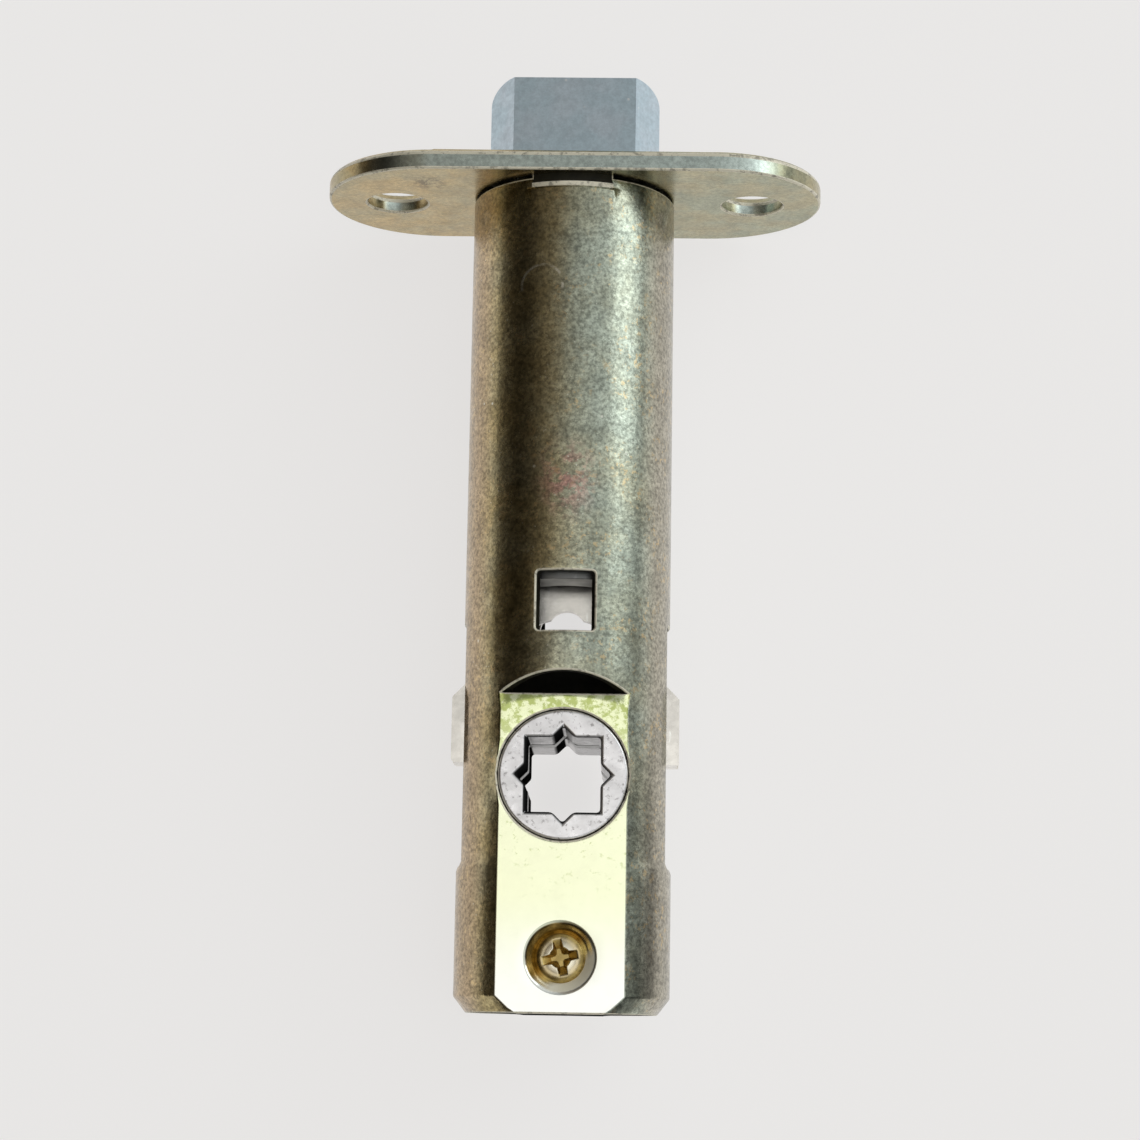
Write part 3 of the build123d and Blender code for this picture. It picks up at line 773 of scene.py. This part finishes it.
def softened(node, work, material, width, segments=2, edge=None, clamp=True, free=0.0):
    """Piece made from a CAD node and named after it and its work, with its sharp edges rounded.

    Its triangles are welded and its flat faces joined. Edges within the distance free of the Y axis stay sharp.
    """
    source = frame["nodes"][node]
    mesh = bpy.data.meshes.new(node + "_" + work)
    corners = [tuple(face.vertices) for face in source.data.polygons]
    mesh.from_pydata([vertex.co[:] for vertex in source.data.vertices], [], corners)
    made = bmesh.new()
    made.from_mesh(mesh)
    bmesh.ops.remove_doubles(made, verts=made.verts, dist=CAD_WELD)
    bmesh.ops.dissolve_limit(made, angle_limit=CAD_FLAT_ANGLE, verts=made.verts, edges=made.edges)
    weight = made.edges.layers.float.new("bevel_weight_edge")
    for side in made.edges:
        middle = (side.verts[0].co + side.verts[1].co) / 2
        sharp = side.calc_face_angle(0) > CAD_SHARP_ANGLE
        side[weight] = sharp and math.hypot(middle.x, middle.z) > free
        side.smooth = not sharp or side[weight] > 0
    made.to_mesh(mesh)
    made.free()
    mesh.polygons.foreach_set("use_smooth", [True] * len(mesh.polygons))
    materials = [material] if edge is None else [material, edge]
    piece = place_piece(mesh, materials, source["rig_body"], node)
    round_edges(piece, width, segments, len(materials) - 1, clamp)


def side_section(y, look):
    """Half width of the flat, and the centre, radius and half angle of the side's arc, at each y of the tube."""
    crimp_start = TUBE_LOW.y + look.crimp_run
    swell_start = -look.slot_rear + look.slot_corner
    crimp_flat = math.sqrt(look.crimp_radius**2 - FLAT_HEIGHT**2)
    swollen = TUBE_RADIUS + look.swell
    stops = [TUBE_LOW.y, crimp_start, swell_start - look.swell_run, swell_start]
    flat_x = np.interp(y, stops, [crimp_flat, FLAT_HALF_WIDTH, FLAT_HALF_WIDTH, FLAT_HALF_WIDTH])
    side_x = np.interp(y, stops, [look.crimp_radius, swollen, swollen, TUBE_RADIUS])
    centre = (side_x**2 - flat_x**2 - FLAT_HEIGHT**2) / (2 * (side_x - flat_x))
    return flat_x, centre, side_x - centre, np.arctan2(FLAT_HEIGHT, flat_x - centre)


def side_points(t, y, look):
    """Point of the right side wall: t runs from 1 at the front bend to -1 at the back bend, along the arc's angle."""
    centre, radius, half_angle = side_section(y, look)[1:]
    return np.stack([centre + radius * np.cos(t * half_angle), y, radius * np.sin(t * half_angle)], axis=-1)


def front_points(angle, y, inset=0.0):
    """Point of the round front wall at an angle from the Z axis."""
    radius = TUBE_RADIUS - inset
    return np.stack([radius * np.sin(angle), y, radius * np.cos(angle)], axis=-1)


def flat_points(x, y, dip=0.0):
    """Point of the front flat, lowered by a dip."""
    return np.stack([x, y, FLAT_HEIGHT - dip + 0 * x], axis=-1)


def hole_corner(half_width, half_length, radius):
    """Patch round a corner of a punched hole: (1 - s) quarter circle + s square corner at a margin from the hole."""
    angles = np.linspace(0, math.pi / 2, CORNER_STEPS + 1)
    x = half_width - radius + radius * np.cos(angles)
    y = half_length - radius + radius * np.sin(angles)
    wide = half_width + CORNER_MARGIN
    far = half_length + CORNER_MARGIN
    square_x = np.array([wide, wide, wide, half_width, half_width - radius])
    square_y = np.array([half_length - radius, half_length, far, far, far])
    s = np.array([[0.0], [1.0]])
    return (1 - s) * x + s * square_x, (1 - s) * y + s * square_y


def tube_angle(x):
    """Angle from the Z axis at which the round wall has a given x."""
    return math.asin(x / TUBE_RADIUS)


def tube_sheet():
    """Outer face of the pressed tube as one welded sheet.

    The front and back walls are arcs at an angle from Z, the side walls arcs at a share t of their half angle, and the
    flats planes in x and y. Cells of the windows and slots are left open and their corners rounded by small patches.
    Round the hub and the dimple the grid runs from a circle to a rectangle: (1 - s) circle + s rectangle.
    """
    look = sizes()
    sheet = Sheet()
    margin = CORNER_MARGIN
    window_angle = tube_angle(look.window_half_width)
    window_corner = tube_angle(look.window_half_width - look.window_corner)
    window_margin = tube_angle(look.window_half_width + margin)
    window_front, window_rear = -look.window_front, -look.window_rear
    window_y = (window_front + window_rear) / 2
    slot_front, slot_rear = -look.slot_front, -look.slot_rear
    slot_y = (slot_front + slot_rear) / 2
    side_half = math.pi / 2 - FLAT_ANGLE
    slot_edge = tube_angle(look.slot_half_height) / side_half
    slot_inner = tube_angle(look.slot_half_height - look.slot_corner) / side_half
    slot_margin = tube_angle(look.slot_half_height + margin) / side_half
    stake_angle = tube_angle(look.stake_half_width)
    hub_hole = (HUB_HIGH.x - HUB_LOW.x) / 2 + look.hub_clearance
    bend_dy = math.sqrt(hub_hole**2 - FLAT_HALF_WIDTH**2)
    flat_front = -look.flat_front
    hub_rear = slot_rear + look.slot_corner
    crimp_start = TUBE_LOW.y + look.crimp_run
    dimple_front = SCREW_Y + 0.0043
    band_top = window_rear - 0.0017
    angle_step = math.radians(3.4)
    row_step, share_step, hub_step, swell_step = 0.0025, 0.07, 0.0018, 0.002
    upright_share = 0.9

    # Round walls, from the rim to the arch.
    inner = [stake_angle, window_margin, window_angle, window_corner]
    angles = spread([-FLAT_ANGLE, *[-a for a in inner], *inner[::-1], FLAT_ANGLE], angle_step)
    groove = [-look.rim - dy for dy in (0, 0.0006, 0.0011, 0.00125)]
    rows = [*groove, window_front + margin, window_front, window_front - look.window_corner]
    rows += [slot_front + margin, slot_front, slot_front - look.slot_corner]
    rows += [window_rear + look.window_corner, window_rear, window_rear - margin, band_top]
    rows = spread(rows, row_step)
    y, angle = np.meshgrid(rows, angles, indexing="ij")
    sunk = (np.abs(y - groove[2]) < TOLERANCE) & (np.abs(angle) < stake_angle + TOLERANCE)
    front = front_points(angle, y, look.stake_groove * sunk)
    mid_y = (rows[:-1] + rows[1:]) / 2
    wide = np.abs(angles[:-1] + angles[1:])[None] / 2
    along = np.abs(mid_y - window_y)[:, None]
    half = (window_front - window_rear) / 2
    window = (along < half) & (wide < window_angle)
    corner = (along > half - look.window_corner) & (along < half + margin + NEAR)
    window |= (np.abs(along - half) < margin + NEAR) & corner & (wide < window_margin) & (wide > window_corner)
    # Painted light at the stakes' roots: slot 2, the inside's painted shade, from the faceplate down to the groove, and
    # slot 3, the cut edge's painted highlight, on the groove's slope.
    root = (mid_y > groove[2])[:, None] & (wide[0] < stake_angle)
    slots = np.where(root, np.where(mid_y > groove[1], 2, 3)[:, None], 0)
    stake_angles = angles[np.abs(angles) < stake_angle + TOLERANCE]
    stake = front_points(*np.meshgrid(stake_angles, [0.0, -look.rim]))
    arch_radius = (FLAT_HALF_WIDTH**2 + look.arch_rise**2) / (2 * look.arch_rise)
    arch_y = flat_front + look.arch_rise - arch_radius + np.sqrt(arch_radius**2 - (TUBE_RADIUS * np.sin(angles)) ** 2)
    band_shares = np.linspace(0, 1, 5)
    band = lerp(front_points(angles, 0 * angles + band_top), front_points(angles, arch_y), band_shares)
    band = front_points(np.broadcast_to(angles, band.shape[:2]), band[..., 1])
    x, y = hole_corner(look.window_half_width, half, look.window_corner)
    corners = [(front_points(np.arcsin(hand * x / TUBE_RADIUS), window_y + way * y),) for hand, way in SIGNS]
    sheet.both(2, (front, slots, window), (stake, 2), (band,), *corners)

    # Side walls, from the rim to the crimped end.
    t = spread([1, slot_margin, slot_edge, slot_inner, -slot_inner, -slot_edge, -slot_margin, -1], share_step)
    pressed = spread([flat_front, HUB_Y + bend_dy, HUB_Y - bend_dy, hub_rear], hub_step)
    swollen = spread([hub_rear, slot_rear, slot_rear - margin, dimple_front], swell_step)
    dimple_rows = np.linspace(dimple_front, crimp_start, 13)
    crimp_rows = np.linspace(crimp_start, TUBE_LOW.y, 4)
    band_rows = (1 - band_shares) * band_top + band_shares * flat_front
    side_rows = np.concatenate([rows, band_rows[1:], pressed[1:], swollen[1:], dimple_rows[1:], crimp_rows[1:]])
    mid_y = (side_rows[:-1] + side_rows[1:]) / 2
    high = np.abs(t[:-1] + t[1:])[None] / 2
    y, t = np.meshgrid(side_rows, t, indexing="ij")
    rim_x = np.sqrt(np.clip(hub_hole**2 - (side_rows - HUB_Y) ** 2, 0, None))
    t[:, 0] = (math.pi / 2 - np.arcsin(np.clip(rim_x, FLAT_HALF_WIDTH, None) / TUBE_RADIUS)) / side_half
    t[:, -1] = -t[:, 0]
    side = side_points(t, y, look)
    half = (slot_front - slot_rear) / 2
    along = np.abs(mid_y - slot_y)[:, None]
    slot = (along < half) & (high < slot_edge)
    slot |= (along > half - look.slot_corner) & (along < half + margin) & (high < slot_margin) & (high > slot_inner)
    z, y = hole_corner(look.slot_half_height, half, look.slot_corner)
    t = np.arcsin(z / TUBE_RADIUS) / side_half
    corners = [(side_points(hand * t, slot_y + way * y, look),) for hand, way in SIGNS]
    sheet.both(0, (side, 0, slot), *corners)

    # Flats: round the hub, between hub and dimple, round the dimple, and the crimped end.
    columns = np.linspace(-1, 1, 25)
    start = math.atan2(bend_dy, FLAT_HALF_WIDTH)
    arc = np.linspace(math.pi - start, start, len(columns))
    before = pressed[pressed > HUB_Y + bend_dy - NEAR]
    behind = pressed[pressed < HUB_Y - bend_dy + NEAR]
    for end, way, row in ((flat_front, 1, before), (hub_rear, -1, behind)):
        edge = np.stack([FLAT_HALF_WIDTH * columns, 0 * columns + end], axis=-1)
        rim = np.stack([hub_hole * np.cos(arc), HUB_Y + way * (hub_hole * np.sin(arc))], axis=-1)
        patch = lerp(rim, edge, (row - rim[0, 1]) / (end - rim[0, 1]))
        sheet.both(2, (flat_points(patch[..., 0], patch[..., 1]), 1))
    rear = np.concatenate([swollen, dimple_rows[1:], crimp_rows[1:]])
    for back, run in ((False, swollen), (True, rear), (False, crimp_rows)):
        half = side_section(run, look)[0]
        made = flat_points(half[:, None] * columns, np.repeat(run[:, None], len(columns), 1))
        sheet.grid(mirrored(made, 2) if back else made, 1)
    dimple(sheet, look, columns, dimple_rows)

    def outward(centre):
        return centre * (1, 0, 1)

    def upright(points):
        flat = np.abs(points[:, 2]) < FLAT_HEIGHT + NEAR
        rim = np.abs(np.hypot(points[:, 0], points[:, 1] - HUB_Y) - hub_hole) < TOLERANCE
        half = side_section(points[:, 1], look)[0]
        return (flat & (np.abs(points[:, 0]) < upright_share * half)) | rim

    # Slot 3, the cut edge's painted highlight, goes on the rolled lips; slot 2, the inside's painted shade, on the
    # inner face and the cut walls.
    return sheet.shell("latch_tube_shell", outward, upright, look.wall, look.edge_break, (3, 2))


def dimple(sheet, look, columns, rows):
    """Screw dimple: rings down a cone with a rounded lip, then rings that widen to the rectangle between the bends.

    The dip at radius r is R - r for a cone of foot R, joined to the flat by a parabola of half width k about R.
    """
    lip = look.dimple_lip
    foot = look.dimple_radius
    across = FLAT_HALF_WIDTH * columns
    down = 0 * rows[1:-1] + FLAT_HALF_WIDTH
    edge_x = np.concatenate([across, down, across[::-1], -down, across[:1]])
    edge_y = [0 * columns + rows[0], rows[1:-1], 0 * columns + rows[-1], rows[-2:0:-1], rows[:1]]
    edge = np.stack([edge_x, np.concatenate(edge_y) - SCREW_Y], axis=-1)
    turn = np.arctan2(edge[:, 1], edge[:, 0])
    ray = np.stack([np.cos(turn), np.sin(turn)], axis=-1)
    radii = [look.dimple_hole, 0.5 * (look.dimple_hole + foot), foot - 1.6 * lip, foot - lip, foot - lip / 2]
    rings = np.array([*radii, foot, foot + lip / 2, foot + lip])[:, None, None] * ray[None]
    grid = np.concatenate([rings, lerp(rings[-1], edge, np.linspace(0, 1, 4))[1:]])
    depth = foot - np.linalg.norm(grid, axis=-1)
    dip = np.where(depth > lip, depth, np.where(depth < -lip, 0, (depth + lip) ** 2 / (4 * lip)))
    sheet.grid(flat_points(grid[..., 0], grid[..., 1] + SCREW_Y, dip), 1)


def coil_mesh(name, x, front, rear, radius, wire, turns):
    """Closed-end compression spring: a circle of the wire carried along a helix.

    The helix's y falls by a wire's width over each end turn and evenly over the open turns between them.
    """
    steps, sides = 40, 12
    total = turns + 2.0
    turned = np.linspace(0, total, int(total * steps) + 1)
    top = front - wire / 2
    foot = rear + wire / 2
    y = np.interp(turned, [0, 1, total - 1, total], [top, top - wire, foot + wire, foot])
    angle = 2 * math.pi * turned
    centre = np.stack([x + radius * np.cos(angle), y, radius * np.sin(angle)], axis=-1)
    outward = np.stack([np.cos(angle), 0 * angle, np.sin(angle)], axis=-1)
    along = np.gradient(centre, axis=0)
    along /= np.linalg.norm(along, axis=1)[:, None]
    across = np.cross(along, outward)
    ring = np.linspace(0, 2 * math.pi, sides + 1)[None, :, None]
    circle = np.cos(ring) * outward[:, None] + np.sin(ring) * across[:, None]
    skin = centre[:, None] + wire / 2 * circle
    hubs = np.repeat(centre[:, None], skin.shape[1], 1)
    sheet = Sheet()
    for grid in (skin, np.stack([hubs[0], skin[0]]), np.stack([skin[-1], hubs[-1]])):
        sheet.grid(grid)
    return sheet.mesh(name)


def screw_mesh():
    """Pan-head screw: a turned profile of radius and height, whose top is lowered by a tapered cross recess.

    The recess is as deep as the least of its full depth and the slopes times the distances to the arm's sides and end.
    A round flare opens it at its middle.
    """
    look = sizes()
    head = (SCREW_HIGH.x - SCREW_LOW.x) / 2
    rim, drop, crown, band, shank, core = 0.0011, 0.0008, 0.0002, 0.0002, 0.0015, 0.0028
    side_slope, end_slope, flare_slope, taper, flare = 3.2, 1.1, 1.6, 0.35, 0.0012
    rings, first_ring, tilt = 34, 0.00006, math.radians(12)
    turns = np.linspace(0, 2 * math.pi, 145)
    rolled = np.linspace(0, 1, 11)[1:] * math.pi / 2
    radii = np.concatenate([[0], np.linspace(first_ring, head - rim, rings), head - rim + rim * np.sin(rolled)])
    rise = crown * (1 - np.clip(radii / (head - rim), 0, 1) ** 2)
    edge = np.concatenate([np.zeros(rings + 1), drop * (1 - np.cos(rolled))])
    height = SCREW_HIGH.z - crown + rise - edge
    x = radii[:, None] * np.cos(turns)
    y = radii[:, None] * np.sin(turns)
    u = np.abs(x * math.cos(tilt) + y * math.sin(tilt))
    v = np.abs(y * math.cos(tilt) - x * math.sin(tilt))
    reach = look.recess_reach

    def arm(along, across):
        half = look.recess_half_width * (1 - taper * along / reach)
        return np.minimum(side_slope * (half - across), end_slope * (reach - along))

    bowl = flare_slope * (flare - np.hypot(x, y))
    cut = np.clip(np.maximum(np.maximum(arm(u, v), arm(v, u)), bowl), 0, look.recess_depth)
    sheet = Sheet()
    sheet.grid(np.stack([x, y + SCREW_Y, height[:, None] - cut], axis=-1))
    under = height[-1] - band
    side_radii = np.array([head, head, shank, shank, 0])
    side_height = np.array([height[-1], under, under - (head - shank), SCREW_LOW.z, SCREW_LOW.z])
    x = side_radii[:, None] * np.cos(turns)
    y = side_radii[:, None] * np.sin(turns) + SCREW_Y
    sheet.grid(np.stack([x, y, np.repeat(side_height[:, None], len(turns), 1)], axis=-1))
    inside = np.array([0, SCREW_Y, SCREW_HIGH.z - core])
    return sheet.mesh("end_screw_turned", lambda centre: centre - inside)


# Operators.


class LatchOperator:
    """Shared parts of the latch's operators, which do their work in build."""

    bl_options = {"REGISTER", "UNDO"}

    def execute(self, context):
        self.build(finishes(), sizes())
        return {"FINISHED"}


class LATCH_OT_tube(LatchOperator, Operator):
    """Build the pressed tube from its outer sheet, give it its wall and round its sheared edges"""

    bl_idname = "latch.tube"
    bl_label = "Pressed Tube"

    def build(self, look, size):
        # The tube's finishes: zinc, flats, the painted shade of its inside and cut walls, and the painted highlight of
        # its cut edges.
        skins = [zinc_skin(), flat_skin(), inside_shade_skin(), highlight_edge_skin()]
        round_edges(place_piece(tube_sheet(), skins, "case", "latch_tube"), size.bend_break)


class LATCH_OT_faceplate(LatchOperator, Operator):
    """Round the faceplate's edges and give it its gold zinc finish"""

    bl_idname = "latch.faceplate"
    bl_label = "Faceplate"

    def build(self, look, size):
        # The rounded outer edges take the cut edge's cream painted highlight.
        softened("faceplate", "plated", plate_skin(), 0.00025, 3, highlight_edge_skin(), False, 0.0124)


class LATCH_OT_end(LatchOperator, Operator):
    """Build the end screw with its cross recess, and finish the end block and the spring guides"""

    bl_idname = "latch.end"
    bl_label = "Tube End"

    def build(self, look, size):
        place_piece(screw_mesh(), [brass_skin()], "case", "end_screw")
        cast = drawn_skin("block_zinc_finish", look.block_grey, 0.5)
        softened("end_block", "cast", cast, 0.0002)
        pins = drawn_skin("guide_steel_finish", look.pin_bright, 0.25)
        for hand in ("left", "right"):
            softened("spring_guide_" + hand, "turned", pins, 0.0001)


class LATCH_OT_hub(LatchOperator, Operator):
    """Finish the two sintered bushes and the cam between them"""

    bl_idname = "latch.hub"
    bl_label = "Hub"

    def build(self, look, size):
        metal = sintered_skin()
        for face in ("front", "back"):
            softened("hub_bush_" + face, "sintered", metal, 0.00036, 3, clamp=False)
        cam = drawn_skin("cam_steel_finish", look.steel_dark, 0.35)
        softened("cam_plate", "stamped", cam, 0.0001)


class LATCH_OT_yoke(LatchOperator, Operator):
    """Finish the forked yoke plates, their rivets and the spring washer"""

    bl_idname = "latch.yoke"
    bl_label = "Yoke"

    def build(self, look, size):
        bright = drawn_skin("yoke_steel_finish", look.yoke_bright, 0.22)
        for face in ("front", "back"):
            softened("yoke_plate_" + face, "stamped", bright, 0.0003, 4)
        dark = drawn_skin("washer_steel_finish", look.steel_dark, 0.42)
        softened("spring_washer", "pressed", dark, 0.0001)
        pins = drawn_skin("rivet_steel_finish", look.pin_bright, 0.28)
        for hand in ("left", "right"):
            softened("yoke_rivet_" + hand, "headed", pins, 0.00012)


class LATCH_OT_bolt(LatchOperator, Operator):
    """Finish the bevelled bolt, its tail strip and its pins"""

    bl_idname = "latch.bolt"
    bl_label = "Bolt"

    def build(self, look, size):
        softened("bolt_head", "satin", satin_skin(), size.bolt_edge, 3)
        bright = drawn_skin("strip_steel_finish", look.yoke_bright, 0.32)
        softened("tail_strip", "stamped", bright, 0.0001)
        pins = drawn_skin("pin_steel_finish", look.pin_bright, 0.25)
        for node in ("tail_pin", "pull_pin"):
            softened(node, "turned", pins, 0.0001)


class LATCH_OT_springs(LatchOperator, Operator):
    """Wind the bolt spring and the two return springs"""

    bl_idname = "latch.springs"
    bl_label = "Springs"

    def build(self, look, size):
        steel = drawn_skin("spring_steel_finish", look.steel_dark, 0.3, 1200)
        spring = (size.spring_radius, size.spring_wire, size.spring_turns)
        seat = 0.0012
        front = BOLT_LOW.y + seat
        self.wind("bolt_spring", steel, "yoke", "bolt_slide", 0, front, WASHER_HIGH.y, *spring)
        spring = (size.return_radius, size.return_wire, size.return_turns)
        for hand, side in (("left", -1), ("right", 1)):
            ends = (side * size.return_x, YOKE_LOW.y, BLOCK_HIGH.y)
            self.wind("return_spring_" + hand, steel, "case", "yoke_slide", *ends, *spring)

    def wind(self, node, steel, body, joint, x, front, rear, *spring):
        """Spring wound from its front to its rear end and placed on a body; the joint is not used."""
        piece = place_piece(coil_mesh(node + "_wound", x, front, rear, *spring), [steel], body, node)
        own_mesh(piece)


class LATCH_OT_stage(LatchOperator, Operator):
    """Set the floor, the world, the lamps and the camera"""

    bl_idname = "latch.stage"
    bl_label = "Studio"

    def build(self, look, size):
        look = bpy.context.scene.latch_stage
        self.floor(look, size)
        self.world(look)
        self.lamp("window_panel", (0.62, 0.44, 0.33), (-1, 0, 0), 0.68, 0.46, look.window_light, (0.90, 0.97, 1.0))
        self.lamp("top_panel", (0.0, -0.1225, 0.62), (0, 0, -1), 0.42, 0.345, look.top_light, (1.0, 1.0, 1.0))
        self.camera(look)
        bpy.context.scene.view_settings.view_transform = "Standard"

    def floor(self, look, size):
        """Plane z = a + b y on which the latch lies, by the plate's lower edge and the round tube's rear end."""
        contact = -size.flat_front + size.arch_rise
        slope = (PLATE_LOW.z - TUBE_LOW.z) / (PLATE_LOW.y - contact)
        half, gap = 1.2, 0.00005
        x, y = np.meshgrid([-half, half], [-half, half])
        z = PLATE_LOW.z + slope * (y - PLATE_LOW.y) - gap
        mesh = bpy.data.meshes.new("studio_floor")
        mesh.from_pydata(np.stack([x, y, z], axis=-1).reshape(-1, 3), [], [(0, 1, 3, 2)])
        skin = Finish("studio_floor_finish", 0.0)
        skin.tone = skin.mix(skin.noise(3.0, 2.0), look.floor_colour, tuple(0.98 * c for c in look.floor_colour))
        mesh.materials.append(skin.close(0.85))
        path = skin.node("LightPath").outputs
        seen = skin.maths("MAXIMUM", path["Is Camera Ray"], path["Is Glossy Ray"])
        seen = skin.product(skin.maths("MAXIMUM", seen, path["Is Transmission Ray"]), look.floor_mix)
        # Painted shade: a patch of floor to the right of the latch is dimmed for glossy rays only, so that the tube's
        # right flank reflects it darker.
        glossy_shade_patch = skin.product(skin.ramp(skin.x, 0.034, 0.06), skin.ramp(skin.y, -0.05, -0.075))
        level = skin.less(1.0, skin.product(glossy_shade_patch, path["Is Glossy Ray"], 0.85))
        glow = skin.node("Emission", Color=look.floor_glow, Strength=level)
        both = skin.node("MixShader", i0=seen, i1=skin.shader.outputs[0], i2=glow.outputs[0])
        skin.put(skin.tree.nodes["Material Output"].inputs["Surface"], both.outputs[0])
        add_object("studio_floor", mesh)

    def world(self, look):
        """Sky by direction: dim towards the left, brighter towards the right, and even where the camera sees it."""
        world = bpy.data.worlds.new("studio_world")
        bpy.context.scene.world = world
        world.use_nodes = True
        sky = Nodes(world.node_tree)
        x, y, z = sky.node("SeparateXYZ", i0=sky.node("TexCoord").outputs["Generated"]).outputs
        angle = sky.maths("ARCTAN2", x, z)
        ramp = sky.node("ValToRGB", i0=sky.remap(angle, -math.pi / 2, math.pi / 2, 0, 1))
        elements = ramp.color_ramp.elements
        while len(elements) < len(SKY):
            elements.new(0.5)
        for element, (at, level) in zip(elements, SKY):
            element.position = at
            element.color = (*(level * c for c in (SKY_WARM if at < 0.5 else SKY_COOL)), 1)
        right = sky.product(sky.ramp(angle, 1.0, 1.35), 0.85)
        sides = sky.maths("MULTIPLY_ADD", sky.ramp(angle, -0.9, -1.3), 0.3, right)
        level = sky.less(1.0, sky.product(sides, sky.ramp(y, 0.20, 0.02)))
        seen = sky.node("LightPath").outputs["Is Camera Ray"]
        background = sky.tree.nodes["Background"].inputs
        sky.put(background["Color"], sky.mix(seen, ramp.outputs[0], (look.background,) * 3))
        sky.put(background["Strength"], sky.maths("MAXIMUM", level, seen))

    def lamp(self, name, place, facing, width, height, radiance, tone):
        """Rectangular lamp whose power gives the asked radiance: radiance times area times pi."""
        lamp = bpy.data.lights.new(name, "AREA")
        lamp.shape = "RECTANGLE"
        lamp.size = width
        lamp.size_y = height
        lamp.energy = radiance * width * height * math.pi
        lamp.color = tone
        panel = add_object(name, lamp)
        panel.location = place
        panel.rotation_euler = Vector(facing).to_track_quat("-Z", "Y").to_euler()
        panel.visible_camera = False

    def camera(self, look):
        """Stands where the photo was taken, turned about Y by the yaw, then X by the pitch, then Z by the roll."""
        lens = bpy.data.cameras.new("photo_camera")
        lens.lens = look.camera_lens
        lens.sensor_width = 36
        lens.clip_start = 0.01
        lens.clip_end = 10
        turns = (look.camera_roll, "Z"), (look.camera_pitch, "X"), (look.camera_yaw, "Y")
        roll, pitch, yaw = (Matrix.Rotation(angle, 3, axis) for angle, axis in turns)
        camera = add_object("photo_camera", lens)
        camera.matrix_world = Matrix.Translation(look.camera_place) @ (roll @ pitch @ yaw).transposed().to_4x4()
        bpy.context.scene.camera = camera


class LATCH_PT_panel(Panel):
    """Sidebar panel that lists the latch's operators"""

    bl_label = "Passage Latch"
    bl_idname = "LATCH_PT_panel"
    bl_space_type = "VIEW_3D"
    bl_region_type = "UI"
    bl_category = "Latch"

    def draw(self, context):
        for operator in OPERATORS:
            self.layout.operator(operator.bl_idname)


OPERATORS = (
    LATCH_OT_tube,
    LATCH_OT_faceplate,
    LATCH_OT_end,
    LATCH_OT_hub,
    LATCH_OT_yoke,
    LATCH_OT_bolt,
    LATCH_OT_springs,
    LATCH_OT_stage,
)
GROUPS = {"latch_sizes": LatchSizes, "latch_finishes": LatchFinishes, "latch_stage": LatchStage}


def register():
    for kind in (*GROUPS.values(), *OPERATORS, LATCH_PT_panel):
        bpy.utils.register_class(kind)
    for name, group in GROUPS.items():
        setattr(bpy.types.Scene, name, PointerProperty(type=group))


def unregister():
    for name in GROUPS:
        delattr(bpy.types.Scene, name)
    for kind in (LATCH_PT_panel, *OPERATORS[::-1], *GROUPS.values()):
        bpy.utils.unregister_class(kind)


def main():
    register()
    bpy.ops.latch.tube()
    bpy.ops.latch.faceplate()
    bpy.ops.latch.end()
    bpy.ops.latch.hub()
    bpy.ops.latch.yoke()
    bpy.ops.latch.bolt()
    bpy.ops.latch.springs()
    bpy.ops.latch.stage()


if __name__ == "__main__":
    main()
